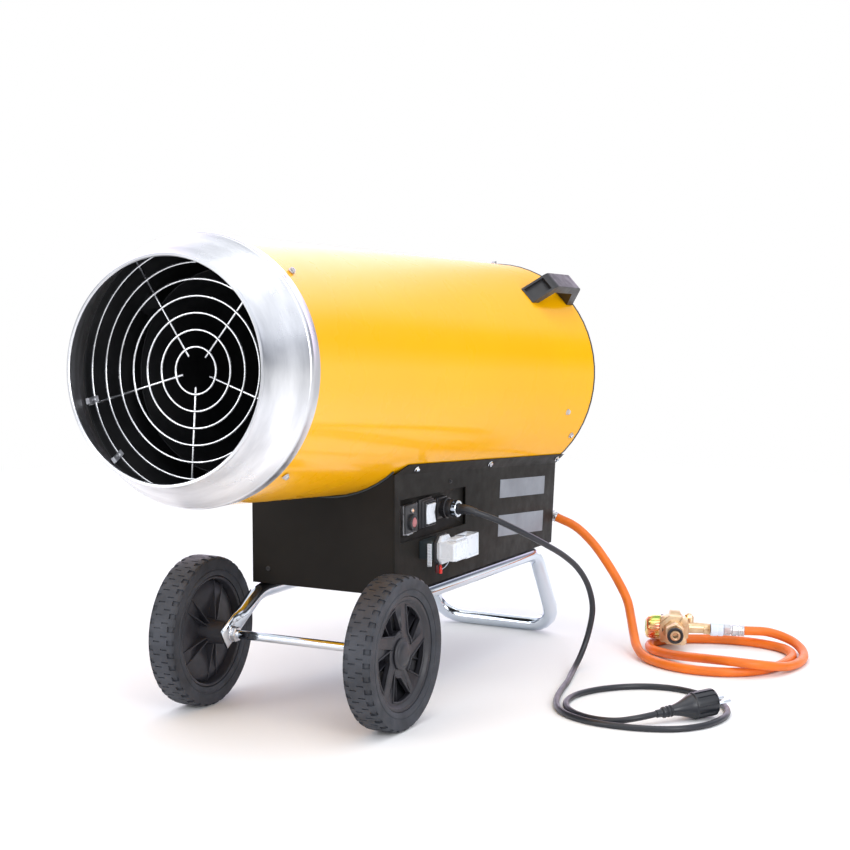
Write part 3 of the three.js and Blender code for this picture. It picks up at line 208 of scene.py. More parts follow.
def surfaced(name, colour, roughness, metallic, specular, patches, sheen=None, grain=None, lean=0.0):
    """A finish whose colour, roughness and relief each follow a noise. Patches hold its scale, detail and
    stretch along Y, then the dark and light colours; sheen its scale and detail, then smooth and rough;
    grain its scale, detail and stretch, then the relief's strength and distance."""
    material, shader = blank_finish(name, colour, roughness, metallic, specular)
    scale, detail, stretch, dark, light = patches
    mottled(material, shader, noise(material, scale, detail, stretch, lean), dark, light)
    if sheen:
        scale, detail, smooth, rough = sheen
        sheen_range(material, shader, noise(material, scale, detail), smooth, rough)
    if grain:
        scale, detail, stretch, strength, distance = grain
        relief(material, shader, noise(material, scale, detail, stretch, lean), strength, distance)
    return material


def moulded(name, colour, smooth, rough, grain=700, depth=0.12, spread=0.15):
    """Plastic or rubber from a mould, whose colour strays by the spread."""
    darker = tuple(c * (1 - spread) for c in colour)
    lighter = tuple(min(1, c * (1 + spread)) for c in colour)
    return surfaced(name, colour, smooth, 0, 0.5, (25, 3, 1, darker, lighter), (90, 3, smooth, rough),
                    (grain, 2, 1, depth, 0.0002))


def yellow_enamel():
    """Baked enamel under a clear, glossy coat."""
    material = surfaced("yellow_enamel", (0.93, 0.44, 0.0), 0.3, 0, 0.05,
                        (3, 3, 1, (0.91, 0.425, 0.0), (0.95, 0.455, 0.0)), (14, 4, 0.24, 0.34),
                        (320, 1, 1, 0.03, 0.0003))
    shader = material.node_tree.nodes["Principled BSDF"]
    shader.inputs["Coat Weight"].default_value = 0.75
    shader.inputs["Coat Roughness"].default_value = 0.12
    return material


def yellow_zinc():
    """Zinc plating whose passivation runs from straw through green to rose."""
    material, shader = blank_finish("yellow_zinc_plate", (0.6, 0.5, 0.2), 0.2, 1)
    ramp = mottled(material, shader, noise(material, 38, 3), (0.78, 0.3, 0.2),
                   (0.42, 0.58, 0.14), 0.38, 0.62)
    ramp.elements.new(0.5).color = (0.85, 0.62, 0.24, 1)
    sheen_range(material, shader, noise(material, 120, 3), 0.14, 0.28)
    return material


YELLOW = yellow_enamel()
BOX_BLACK = surfaced("black_powder_coat", (0.017, 0.0155, 0.014), 0.5, 0, 0.08,
                     (5, 5, 1, (0.013, 0.012, 0.011), (0.024, 0.022, 0.02)), (60, 3, 0.42, 0.58),
                     (900, 2, 1, 0.22, 0.0003))
# sheet with the fine rings of the spinning lathe, and a cloudy bloom over them
SPUN_ZINC = surfaced("spun_galvanised_sheet", (0.7, 0.71, 0.74), 0.32, 1, 0.5,
                     (9, 6, 4, (0.55, 0.56, 0.59), (0.91, 0.92, 0.95)), (12, 5, 0.24, 0.42),
                     (8, 3, 140, 0.16, 0.0006), CASING_LEAN)
# the cone's inner face behind the lip: a darker sheet as painted shade, a little rougher than the outside
PAINTED_SHADE_ZINC = surfaced("painted_shade_inner_sheet", (0.2, 0.2, 0.21), 0.4, 0.85, 0.5,
                      (11, 6, 5, (0.1, 0.095, 0.095), (0.33, 0.34, 0.37)), (30, 4, 0.3, 0.5),
                      (8, 3, 110, 0.2, 0.0006), CASING_LEAN)
GALVANISED = surfaced("galvanised_sheet", (0.6, 0.61, 0.64), 0.34, 1, 0.5,
                      (40, 5, 1, (0.46, 0.46, 0.48), (0.78, 0.79, 0.82)), (70, 4, 0.24, 0.42),
                      (220, 4, 1, 0.12, 0.0003))
CHROME = surfaced("bright_chrome", (0.68, 0.73, 0.8), 0.08, 1, 0.5,
                  (8, 3, 1, (0.62, 0.68, 0.76), (0.75, 0.79, 0.84)), (40, 3, 0.05, 0.13),
                  (60, 3, 1, 0.05, 0.0004))
WIRE = surfaced("plated_wire", (0.74, 0.75, 0.78), 0.22, 1, 0.5,
                (90, 3, 1, (0.6, 0.61, 0.63), (0.86, 0.87, 0.89)), (200, 3, 0.16, 0.3))
# dark heat-tinted steel, the own colour of the flame tube and burner cup; on the casing's inner faces and
# front rim it is painted shade
HEATED_STEEL_AND_SHADE = surfaced("heated_steel_and_painted_shade", (0.05, 0.05, 0.055), 0.5, 0.6, 0.5,
                  (9, 5, 1, (0.03, 0.032, 0.036), (0.085, 0.085, 0.09)), (50, 3, 0.42, 0.62),
                  (300, 3, 1, 0.15, 0.0004))
BLACK_PLASTIC = moulded("black_moulding", (0.018, 0.018, 0.021), 0.34, 0.5)
SATIN_BLACK = moulded("satin_black_moulding", (0.026, 0.027, 0.031), 0.32, 0.46)
SOCKET_GREY = moulded("dark_grey_moulding", (0.03, 0.042, 0.048), 0.4, 0.55)
WHITE_PLASTIC = moulded("white_moulding", (0.74, 0.78, 0.84), 0.24, 0.34, spread=0.025)
COLLAR_WHITE = moulded("blue_white_moulding", (0.7, 0.78, 0.9), 0.3, 0.4, spread=0.04)
RED_PLASTIC = moulded("red_moulding", (0.75, 0.02, 0.012), 0.25, 0.35)
DARK_RED = moulded("dark_red_moulding", (0.09, 0.006, 0.008), 0.3, 0.4)
PALE_RED = moulded("worn_red_cap", (0.42, 0.14, 0.15), 0.3, 0.42, 260, 0.3)
LAMP_AMBER = moulded("amber_lamp_lens", (0.92, 0.5, 0.3), 0.12, 0.2)
MOTOR_GREY = moulded("grey_motor_paint", (0.08, 0.085, 0.095), 0.35, 0.5)
CERAMIC = moulded("glazed_ceramic", (0.74, 0.69, 0.58), 0.2, 0.32)
TYRE = surfaced("tyre_rubber", (0.036, 0.039, 0.048), 0.6, 0, 0.35,
                (26, 6, 1, (0.026, 0.028, 0.034), (0.052, 0.057, 0.07)), (60, 4, 0.46, 0.68),
                (500, 3, 1, 0.25, 0.0004))
WHEEL_BLACK = moulded("black_wheel_moulding", (0.022, 0.022, 0.028), 0.36, 0.5)
BRASS = surfaced("forged_brass", (0.74, 0.54, 0.33), 0.36, 0.85, 0.5,
                 (60, 5, 1, (0.6, 0.41, 0.23), (0.86, 0.67, 0.45)), (160, 4, 0.28, 0.46),
                 (500, 4, 1, 0.3, 0.0004))
ZINC = yellow_zinc()
COPPER = surfaced("drawn_copper", (0.55, 0.24, 0.13), 0.3, 1, 0.5,
                  (40, 4, 1, (0.38, 0.15, 0.08), (0.62, 0.29, 0.16)))
HOSE_ORANGE = moulded("orange_hose_rubber", (0.78, 0.165, 0.008), 0.36, 0.5, 260, 0.2)
LEAD_BLACK = moulded("black_lead_sheath", (0.016, 0.018, 0.024), 0.3, 0.42, 300, 0.2)
BLANK_FOIL = moulded("blank_label_foil", (0.22, 0.24, 0.28), 0.3, 0.42, 400, 0.2)


def dress(obj, material):
    obj.data.materials.clear()
    obj.data.materials.append(material)


dress(mains_lead, LEAD_BLACK)
dress(gas_hose, HOSE_ORANGE)


# ---------------------------------------------------------------- ways of making a piece

def only(obj):
    bpy.ops.object.select_all(action="DESELECT")
    obj.select_set(True)
    bpy.context.view_layer.objects.active = obj


def start_edit():
    """Goes into edit mode with everything selected."""
    bpy.ops.object.mode_set(mode="EDIT")
    bpy.ops.mesh.select_all(action="SELECT")


def end_edit():
    bpy.ops.object.mode_set(mode="OBJECT")


def smooth(piece, angle):
    only(piece)
    bpy.ops.object.shade_smooth_by_angle(angle=math.radians(angle))


def standing(place, heading):
    """Where Z runs along a heading from a place."""
    turn = Vector((0, 0, 1)).rotation_difference(Vector(heading))
    return Matrix.Translation(Vector(place)) @ turn.to_matrix().to_4x4()


def at(*place):
    return Matrix.Translation(place)


def spun(angle, axis="Z"):
    return Matrix.Rotation(angle, 4, axis)


# Z runs back along the casing's axis, X across it and Y down from it
ALONG_CASING = CASING @ spun(-math.pi / 2, "X")


def set_down(piece, place):
    """Moves a finished piece to its place, and leaves its object at the origin."""
    piece.matrix_world = place @ piece.matrix_world
    only(piece)
    bpy.ops.object.transform_apply()
    return piece


def turned(name, rings, sides=48):
    """A turned piece about Z, its rings in millimetres: a circle drawn up and widened ring by ring.
    Where the rings end as they began, it is hollow."""
    hollow = rings[0] == rings[-1]
    rings = [(radius * 0.001, height * 0.001) for radius, height in rings]
    bpy.ops.mesh.primitive_circle_add(vertices=sides, radius=rings[0][0], location=(0, 0, rings[0][1]),
                                      fill_type="NOTHING" if hollow else "NGON")
    piece = bpy.context.object
    piece.name = name
    bpy.ops.object.transform_apply()
    start_edit()
    draw = bpy.ops.mesh.extrude_edges_move if hollow else bpy.ops.mesh.extrude_region_move
    for (radius, height), (wider, higher) in zip(rings, rings[1:]):
        draw(TRANSFORM_OT_translate={"value": (0, 0, higher - height)})
        share = wider / radius
        if abs(share - 1) > 1e-6:
            bpy.ops.transform.resize(value=(share, share, 1), center_override=(0, 0, higher))
    bpy.ops.mesh.select_all(action="SELECT")
    bpy.ops.mesh.remove_doubles(threshold=0.000002)
    bpy.ops.mesh.normals_make_consistent(inside=False)
    end_edit()
    return piece


def slab(name, low, high, bevel=0.0, segments=2):
    """A block between two corners in millimetres, with softened edges."""
    middle = [(a + b) / 2000 for a, b in zip(low, high)]
    size = [(b - a) / 1000 for a, b in zip(low, high)]
    bpy.ops.mesh.primitive_cube_add(size=1, location=middle, scale=size)
    piece = bpy.context.object
    piece.name = name
    bpy.ops.object.transform_apply()
    if bevel:
        soften(piece, bevel / 1000, segments)
    return piece


def choose(piece, test):
    """Goes into edit mode with the faces selected whose centre and normal pass the test."""
    only(piece)
    bpy.ops.object.mode_set(mode="EDIT")
    bpy.ops.mesh.select_mode(type="FACE")
    bpy.ops.mesh.select_all(action="DESELECT")
    end_edit()
    for face in piece.data.polygons:
        face.select = bool(test(face.center, face.normal))
    bpy.ops.object.mode_set(mode="EDIT")


def sink(depth, margin=0.0):
    """Insets the selected faces and draws them in, or out where the depth is below 0."""
    if margin:
        bpy.ops.mesh.inset(thickness=margin, use_even_offset=True)
    bpy.ops.mesh.extrude_region_shrink_fatten(TRANSFORM_OT_shrink_fatten={"value": -depth})
    end_edit()


def soften(piece, width, segments=2, angle=30):
    only(piece)
    edge = piece.modifiers.new("softened edges", "BEVEL")
    edge.width = width
    edge.segments = segments
    edge.limit_method = "ANGLE"
    edge.angle_limit = math.radians(angle)
    bpy.ops.object.modifier_apply(modifier=edge.name)
    return piece


def looks_along_x(middle, normal):
    return normal.x > 0.9


def joined(name, pieces):
    bpy.ops.object.select_all(action="DESELECT")
    for piece in pieces:
        piece.select_set(True)
    bpy.context.view_layer.objects.active = pieces[0]
    bpy.ops.object.join()
    pieces[0].name = name
    return pieces[0]


def copied(piece, name, place):
    copy = bpy.data.objects.new(name, piece.data.copy())
    bpy.context.collection.objects.link(copy)
    copy.data.transform(place)
    return copy


def finished(piece, material, body="heater", angle=35, stands_for=None):
    smooth(piece, angle)
    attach(piece, body)
    dress(piece, material)
    if stands_for:
        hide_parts(stands_for)
    return piece


def run_of_wire(name, points, radii, closed=False, sides=4):
    """Round stock along points in metres. One radius in millimetres, or one for each point."""
    if not isinstance(radii, (list, tuple)):
        radii = [radii] * len(points)
    data = bpy.data.curves.new(name, "CURVE")
    data.dimensions = "3D"
    data.bevel_depth = 0.001
    data.bevel_resolution = sides
    data.use_fill_caps = True
    spline = data.splines.new("POLY")
    spline.points.add(len(points) - 1)
    for point, place, radius in zip(spline.points, points, radii):
        point.co = (*place, 1)
        point.radius = radius
    spline.use_cyclic_u = closed
    wire = bpy.data.objects.new(name, data)
    bpy.context.collection.objects.link(wire)
    only(wire)
    bpy.ops.object.convert(target="MESH")
    return bpy.context.object


def refine(node, name, material, body="heater", bevel=0.0, angle=35, segments=2):
    """A copy of a solid with welded corners, softened edges and smooth shading stands for it."""
    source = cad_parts[node]
    piece = bpy.data.objects.new(name, source.data.copy())
    bpy.context.collection.objects.link(piece)
    only(piece)
    start_edit()
    bpy.ops.mesh.remove_doubles(threshold=0.00002)
    bpy.ops.mesh.tris_convert_to_quads(face_threshold=0.02, shape_threshold=0.02)
    end_edit()
    if bevel:
        soften(piece, bevel, segments)
    return finished(piece, material, body, angle, node)


# ---------------------------------------------------------------- casing, cone and guards

def line_inside(piece, material, is_inside):
    """A second finish for the faces that pass a test in the casing's frame. The test takes how far a face
    looks away from the axis, its centre and its normal."""
    piece.data.materials.append(material)
    across = CASING.inverted()
    for face in piece.data.polygons:
        middle, normal = across @ face.center, across.to_3x3() @ face.normal
        if is_inside(normal.x * middle.x + normal.z * middle.z, middle, normal):
            face.material_index = 1


CONE_LIP = -0.0695                  # along the casing; the lip in front of it keeps the bright spun finish, outside the painted shade


def make_cone():
    cone = turned("galvanised_cone", [
        (166.3, 12), (166.3, 0.4), (166.9, -1.2), (167.3, -3.4), (167.2, -6), (166.6, -8.2), (165.4, -9.4),
        (165.6, -10.2), (163.8, -14.5), (160.4, -21.5), (155.4, -32), (149.6, -44), (143.6, -56),
        (138.6, -66), (138.2, -67.4), (138.9, -68.6), (139.1, -70.2), (138.4, -71.6), (137, -72.2),
        (135.5, -71.8), (134.6, -70.6), (134.6, -69), (135.6, -67.2), (142.4, -55.6), (148.4, -43.6),
        (154.2, -31.6), (159.2, -21), (163, -13), (165.3, -8), (165.3, 0), (165.3, 12), (166.3, 12)], 128)
    set_down(cone, ALONG_CASING)
    finished(cone, SPUN_ZINC, stands_for="outlet_cone")
    # painted shade: the cone's inner face behind the lip takes the darker sheet
    line_inside(cone, PAINTED_SHADE_ZINC, lambda outward, middle, normal: outward < 0 and middle.y > CONE_LIP)


def make_guard(name, rings, first, step, along, spokes, spoke_from, spoke_to, turn, material, node):
    """Wire rings with spokes welded across them."""
    wires = []
    for i in range(rings):
        bpy.ops.mesh.primitive_torus_add(major_radius=(first + step * i) / 1000, minor_radius=0.0016,
                                         major_segments=48 + 10 * i, minor_segments=10,
                                         location=(0, 0, along / 1000))
        wires.append(bpy.context.object)
    for i in range(spokes):
        angle = turn + math.tau * i / spokes
        way = Vector((math.cos(angle), math.sin(angle), 0))
        height = Vector((0, 0, (along + 1.5) / 1000))
        reach = [spoke_from, spoke_from + 1, spoke_to - 1, spoke_to]
        wires.append(run_of_wire("spoke", [way * r / 1000 + height for r in reach], [1.1, 1.6, 1.6, 1.2]))
    guard = joined(name, wires)
    bpy.ops.object.transform_apply()
    set_down(guard, ALONG_CASING)
    finished(guard, material, angle=60, stands_for=node)


# painted shade: the casing's inner faces and its forward-facing front rim get the dark heated-steel finish
line_inside(refine("casing", "painted_casing", YELLOW), HEATED_STEEL_AND_SHADE,
            lambda outward, middle, normal: outward < -0.001 or normal.y < -0.5)
make_cone()
make_guard("outlet_wire_guard", 7, 28.8, 20.5, 0.2, 5, 19.8, 163.2, math.pi / 2, WIRE,
           "outlet_guard")
make_guard("inlet_wire_guard", 5, 30, 30.08, 829, 6, 26, 163.2, 0, BOX_BLACK,
           "inlet_guard")


# ---------------------------------------------------------------- screws

def make_sheet_screw():
    """A hexagon washer-head screw, seated at the origin with its head up along Z."""
    washer = turned("washer", [(4.7, 0), (4.7, 0.7), (4.2, 1.2), (3.4, 1.4)], 24)
    head = turned("head", [(3.7, 1), (3.7, 3.4), (3.3, 4), (1.9, 4.1), (1.7, 3.3), (0.2, 3.2)], 6)
    return joined("sheet_screw", [washer, head])


SCREW = make_sheet_screw()
SCREW_NUMBERS = itertools.count(1)
SCREW_TURN = 0.7                    # from one screw to the next, so that no two heads line up


def drive_screw(place, heading, material=GALVANISED, size=1.0):
    number = next(SCREW_NUMBERS)
    seat = standing(place, heading) @ spun(number * SCREW_TURN) @ Matrix.Scale(size, 4)
    screw = copied(SCREW, f"sheet_screw_{number}", seat)
    finished(screw, material, angle=40)


def on_casing(along, angle, lift=0.0):
    """A point and the way out of the casing there; the angle runs up from the control side."""
    way = Vector((math.cos(math.radians(angle)), 0, math.sin(math.radians(angle))))
    point = way * (CASING_RADIUS + lift) + Vector((0, along / 1000, 0))
    return CASING @ point, CASING.to_3x3() @ way


for along, angle in ((29, 48.3), (29, -46.5), (29, 131.7), (29, 226.5), (759, -17.6), (812, -31.4),
                     (790, 86), (759, 197.6), (812, 211.4)):
    drive_screw(*on_casing(along, angle, 0.0014 if along < 100 else 0))

flange_way = CASING.to_3x3() @ Vector((13.5, 0, -9)).normalized()
for along in (368, 593, 824):
    for side in (1, -1):
        point = CASING @ Vector((side * 0.1146, along / 1000, -0.1236))
        drive_screw(point, (side * flange_way.x, flange_way.y, flange_way.z), CHROME, 0.95)
drive_screw((BOX_SIDE, 0.079, 0.289), (1, 0, 0), SATIN_BLACK, 0.6)
drive_screw((-BOX_SIDE, 0.079, 0.289), (-1, 0, 0), SATIN_BLACK, 0.6)
for x in (-0.085, 0.085):
    drive_screw((x, -0.082, 0.178), (0, -1, 0), SATIN_BLACK, 0.7)
    drive_screw((x, 0.4195, 0.171), (0, 1, 0.02), SATIN_BLACK, 0.7)


CLIP_RADIUS = 0.152


def make_guard_clip(name, angle):
    """A bent tab that holds the guard's outer rings, with its screw."""
    tab = slab(name, (-7, -4, 1.9), (7, 4, 3.1), 0.4)
    choose(tab, looks_along_x)
    bpy.ops.mesh.extrude_region_move(TRANSFORM_OT_translate={"value": (0.004, 0, -0.0018)})
    end_edit()
    seat = ALONG_CASING @ spun(-math.radians(angle)) @ at(CLIP_RADIUS, 0, -0.0045)
    set_down(tab, seat)
    finished(tab, GALVANISED)
    drive_screw(seat @ Vector((0, 0, 0.0019)), seat.to_3x3() @ Vector((0, 0, -1)), GALVANISED, 0.62)


for number, angle in enumerate((104, 196.5, 226, 320, 36)):
    make_guard_clip(f"guard_clip_{number}", angle)

# ---------------------------------------------------------------- inside the casing

refine("flame_tube", "combustion_tube", HEATED_STEEL_AND_SHADE)
refine("burner", "burner_cup", HEATED_STEEL_AND_SHADE)
refine("ignition_electrode", "igniter", CERAMIC)
refine("flame_sensor", "thermocouple", COPPER)
refine("fan", "fan_wheel", BLACK_PLASTIC, "impeller")
refine("fan_motor", "motor_can", MOTOR_GREY)
refine("motor_bracket", "motor_strap", GALVANISED)


# ---------------------------------------------------------------- handle

def make_handle():
    """The bridge handle, with the deep pockets of its two sloping legs."""
    handle = refine("carry_handle", "top_handle", BLACK_PLASTIC)
    soften(handle, 0.0022, 4, 25)
    forward = CASING.to_3x3() @ Vector((0, -1, 0))
    way_out = CASING.to_3x3() @ Vector((math.sqrt(0.5), 0, math.sqrt(0.5)))
    for along in (forward, -forward):
        legs = [face for face in handle.data.polygons
                if face.normal.dot(along) > 0.45 and face.normal.dot(way_out) > 0.4]
        facing = max(legs, key=lambda face: face.area).normal.copy()
        choose(handle, lambda middle, normal: normal.dot(facing) > 0.9995)
        sink(0.007, 0.0028)
    soften(handle, 0.0005, 2, 50)
    smooth(handle, 40)


make_handle()


# ---------------------------------------------------------------- base box

for node, name, bevel in (
        ("side_panel_right", "control_side_panel", 0.0003), ("side_panel_left", "plain_side_panel", 0.0003),
        ("front_panel", "front_box_panel", 0), ("rear_panel", "rear_box_panel", 0),
        ("base_floor", "box_floor", 0.0003), ("control_plate", "control_plate_sheet", 0)):
    refine(node, name, BOX_BLACK, bevel=bevel)


EDGING_RADIUS = 0.1653              # round the casing's axis
EDGING_REACH = 0.1085               # to each side


def make_edge_strip(name, y, forward):
    """The edging on an end panel where it meets the casing's curve."""
    axis_height = CASING_FRONT.z - (y - CASING_FRONT.y) * math.tan(CASING_LEAN)
    points = []
    for i in range(41):
        x = EDGING_REACH * (i / 20 - 1)
        drop = math.sqrt(1 - (x / EDGING_RADIUS) ** 2) * EDGING_RADIUS / math.cos(CASING_LEAN)
        points.append(Vector((x, y + forward, axis_height - drop - 0.0016)))
    finished(run_of_wire(name, points, 1.3), SOCKET_GREY, angle=60)


make_edge_strip("front_panel_edging", -0.0824, -0.0006)
make_edge_strip("rear_panel_edging", 0.431, 0.0006)


def make_blank_labels():
    """Two bare foil plates on the rear of the control side."""
    for name, low, high in (("upper_blank_foil", 14.5, 41), ("lower_blank_foil", -41, -10.5)):
        foil = slab(name, (0, -77, low), (0.35, 77, high), 0.1, 1)
        choose(foil, looks_along_x)
        sink(0.0001, 0.0022)
        set_down(foil, at(BOX_SIDE, 0.3115, 0.2205) @ spun(-CASING_LEAN, "X"))
        finished(foil, BLANK_FOIL)


make_blank_labels()


# ---------------------------------------------------------------- controls

refine("reset_body", "reset_block", SATIN_BLACK, bevel=0.0006)
refine("reset_frame", "reset_guard", GALVANISED, bevel=0.0004)
refine("rocker_bezel", "switch_bezel", SATIN_BLACK, bevel=0.0008)
refine("rocker_key", "switch_key", WHITE_PLASTIC, "rocker", bevel=0.0012, segments=3)
refine("power_inlet", "inlet_base", BLACK_PLASTIC, bevel=0.0005)

ALONG_X = spun(math.pi / 2, "Y")


def make_reset():
    """A black button with a worn red cap let into it, under a small amber lamp."""
    seat = at(0.1086, -0.04, 0.251) @ ALONG_X
    button = turned("reset_cap", [(10.4, 0), (10.4, 7), (10, 8.4), (9, 9.1), (7.3, 9.2), (6.9, 8.6),
                                  (6.8, 7.6), (0.2, 7.5)], 48)
    finished(set_down(button, seat), SATIN_BLACK, "reset", stands_for="reset_button")
    cap = turned("reset_cap_insert", [(6.5, 7.6), (6.5, 8.6), (5.8, 9.1), (3, 9.3), (0.2, 9.35)], 36)
    finished(set_down(cap, seat), PALE_RED, "reset")
    lamp_seat = at(0.1129, -0.0395, 0.2665) @ ALONG_X
    ring = turned("lamp_ring", [(3.1, 0), (3.1, 1.2), (2.7, 1.6), (2.2, 1.6), (2.1, 0.8), (0.1, 0.7)], 24)
    finished(set_down(ring, lamp_seat), GALVANISED)
    lens = turned("lamp_lens", [(2, 0.8), (2, 1.8), (1.4, 2.6), (0.1, 2.9)], 24)
    finished(set_down(lens, lamp_seat), LAMP_AMBER)
    foot = slab("reset_guard_foot", (-0.5, -8, -22.4), (5.5, 8, -19.8), 0.5)
    finished(set_down(foot, at(0.1051, -0.04, 0.256)), GALVANISED)


make_reset()


def ribbed(piece, every, share, radius, low, high, depth):
    """Draws every so many faces of a turned piece in, between two heights, to leave ribs between them."""
    def in_a_groove(middle, normal):
        angle = math.atan2(middle.y, middle.x) / math.tau % 1
        return (abs(normal.z) < 0.5 and low < middle.z * 1000 < high
                and math.hypot(middle.x, middle.y) * 1000 > radius and angle * every % 1 < share)
    choose(piece, in_a_groove)
    sink(depth / 1000)


SLEEVE_REACH = 0.028                # of the relief sleeve along the lead


def make_connector():
    """The screwed barrel, its castellated clamp ring and the tapered sleeve that eases the lead out."""
    seat = at(0.1141, 0.055, 0.2565) @ ALONG_X
    barrel = turned("connector_barrel", [(14.4, 0), (14.4, 1), (14.4, 4.6), (13.6, 5.4), (12.6, 5.6),
                                         (12.6, 11), (12, 12.6), (0.2, 12.9)], 96)
    ribbed(barrel, 24, 0.4, 14, 0.4, 5, 0.7)
    finished(set_down(barrel, seat), BLACK_PLASTIC, stands_for="power_connector")
    nut = turned("lead_clamp_nut", [(11.5, 13.3), (11.5, 15), (11.5, 20.2), (10.9, 20.9), (9.4, 21.2),
                                    (8.2, 21), (7.6, 19.4), (7.4, 18), (0.2, 17.9)], 96)
    ribbed(nut, 12, 0.3, 11, 15, 21, 1.1)
    finished(set_down(nut, seat), CHROME, stands_for="clamp_nut")
    taper, reach = [], 0.0
    for before, point in zip([lead_line[0], *lead_line], lead_line):
        reach += (point - before).length
        if reach > SLEEVE_REACH:
            break
        taper.append((point, 7.1 - 2.4 * reach / SLEEVE_REACH + (0.35 if len(taper) % 2 else -0.1)))
    first = lead_line[0] - (lead_line[1] - lead_line[0]).normalized() * 0.0046
    points = [first, *[point for point, radius in taper]]
    sleeve = run_of_wire("lead_relief_sleeve", points, [7.2, *[radius for point, radius in taper]], sides=6)
    finished(sleeve, LEAD_BLACK, angle=60)


make_connector()


# ---------------------------------------------------------------- remote-control socket

refine("socket_block", "socket_base", SOCKET_GREY, bevel=0.0014, segments=3)
refine("socket_gasket", "socket_seal", BLACK_PLASTIC, bevel=0.0012, segments=3)
hood = refine("socket_hood", "plug_hood", WHITE_PLASTIC)
lever = refine("socket_lever", "hood_lever", WHITE_PLASTIC, "locking_lever")


def detail_hood():
    """The hood's sunk panels, and the lever's thinner, stepped grip."""
    choose(hood, lambda middle, normal: normal.y < -0.9 and middle.x > 0.142)
    sink(0.0006, 0.003)
    choose(hood, lambda middle, normal: normal.x > 0.9 and middle.x > 0.155)
    sink(0.0012, 0.0032)
    soften(hood, 0.0011, 3)
    smooth(hood, 35)
    choose(lever, lambda middle, normal: abs(normal.z) > 0.9 and middle.y > 0.035)
    sink(0.0028, 0.0001)
    choose(lever, lambda middle, normal: normal.y > 0.9)
    bpy.ops.mesh.inset(thickness=0.003)
    sink(0.004)
    choose(lever, lambda middle, normal: normal.x > 0.9 and middle.y > 0.035)
    sink(0.0012, 0.003)
    soften(lever, 0.001, 3)
    smooth(lever, 35)


detail_hood()


def make_clip_strip():
    """The white serrated strip that clips the gasket to the socket block."""
    strip = slab("serrated_clip", (124.2, -17.4, 188), (129.4, -14.4, 219), 0)
    only(strip)
    start_edit()
    bpy.ops.mesh.subdivide(number_cuts=15)
    end_edit()
    choose(strip, lambda middle, normal: normal.y < -0.9 and (middle.z * 1000 - 188) / 31 * 8 % 1 < 0.5)
    sink(0.0011)
    finished(soften(strip, 0.0002, 1, 60), WHITE_PLASTIC)


def make_hanging_tags():
    tag = turned("red_tag", [(1.6, 0), (2.4, 0.6), (2.4, 9), (2, 9.8), (1.2, 10), (1.2, 12.2),
                             (0.2, 12.3)], 16)
    finished(set_down(tag, at(0.1375, -0.0042, 0.1775)), RED_PLASTIC)
    pin = turned("dark_red_pin", [(1.7, 0), (2.1, 0.8), (2.1, 8), (1.6, 8.8), (1.6, 11.5), (0.2, 11.6)], 16)
    finished(set_down(pin, at(0.1325, -0.0055, 0.178)), DARK_RED)
    points = smooth_line([(150, -2, 196.8), (147, -3, 191), (143, -4.4, 186), (139.5, -4.6, 184)], 6)
    wire = run_of_wire("tag_wire", points, 0.45)
    finished(wire, COLLAR_WHITE, angle=60)


make_clip_strip()
make_hanging_tags()

# ---------------------------------------------------------------- inside the base box

refine("ignition_transformer", "spark_transformer", SATIN_BLACK, bevel=0.002)
refine("control_unit", "control_box", MOTOR_GREY, bevel=0.002)
refine("gas_valve", "solenoid_valve", BRASS, bevel=0.001)
refine("supply_pipe", "gas_supply_pipe", COPPER, angle=60)
refine("burner_pipe", "gas_burner_pipe", COPPER, angle=60)


# ---------------------------------------------------------------- wheels

WHEEL_CENTRE = Vector((0, AXLE_Y, WHEEL_RADIUS))
RIGHT_WHEEL = at(*WHEEL_CENTRE) @ ALONG_X
OPPOSITE = at(*WHEEL_CENTRE) @ spun(math.pi) @ at(*-WHEEL_CENTRE)
TREAD_LUGS = 36


def make_tyre():
    """A solid tyre: sidewall grooves, shoulder lugs that are staggered from side to side, and thin slits."""
    tyre = turned("solid_tyre_right", [
        (75.2, 128.5), (79.5, 127.2), (82.2, 127.2), (82.8, 128), (84.2, 128), (84.8, 127.1), (92, 126.3),
        (97.6, 126.4), (99.8, 128), (100.6, 130.5), (101, 135.5), (101, 140.2), (101, 145.4), (101, 146.6),
        (101, 151.8), (101, 156.5), (100.6, 161.5), (99.8, 164), (97.6, 165.6), (92, 165.7), (84.8, 164.9),
        (84.2, 164), (82.8, 164), (82.2, 164.8), (79.5, 164.8), (75.2, 163.2), (75.2, 128.5)], 360)

    def on_tread(middle, nearest, low, high, start, share):
        x, radius = middle.z * 1000, math.hypot(middle.x, middle.y) * 1000
        turn = math.atan2(middle.y, middle.x) / math.tau * TREAD_LUGS % 1 - start
        return radius >= nearest and low < x < high and 0 <= turn < share

    choose(tyre, lambda middle, normal: (on_tread(middle, 97.9, 120, 134, 0, 0.4)
                                         or on_tread(middle, 97.9, 158, 170, 0.5, 0.4)))
    sink(0.0022)
    choose(tyre, lambda middle, normal: (on_tread(middle, 100.5, 135.6, 145, 0.6, 0.1)
                                         or on_tread(middle, 100.5, 147, 156.4, 0.2, 0.1)))
    sink(0.0016)
    return set_down(tyre, RIGHT_WHEEL)


WINDOWS = 5
WINDOW_SPAN = 0.78                  # radians along its outer arc


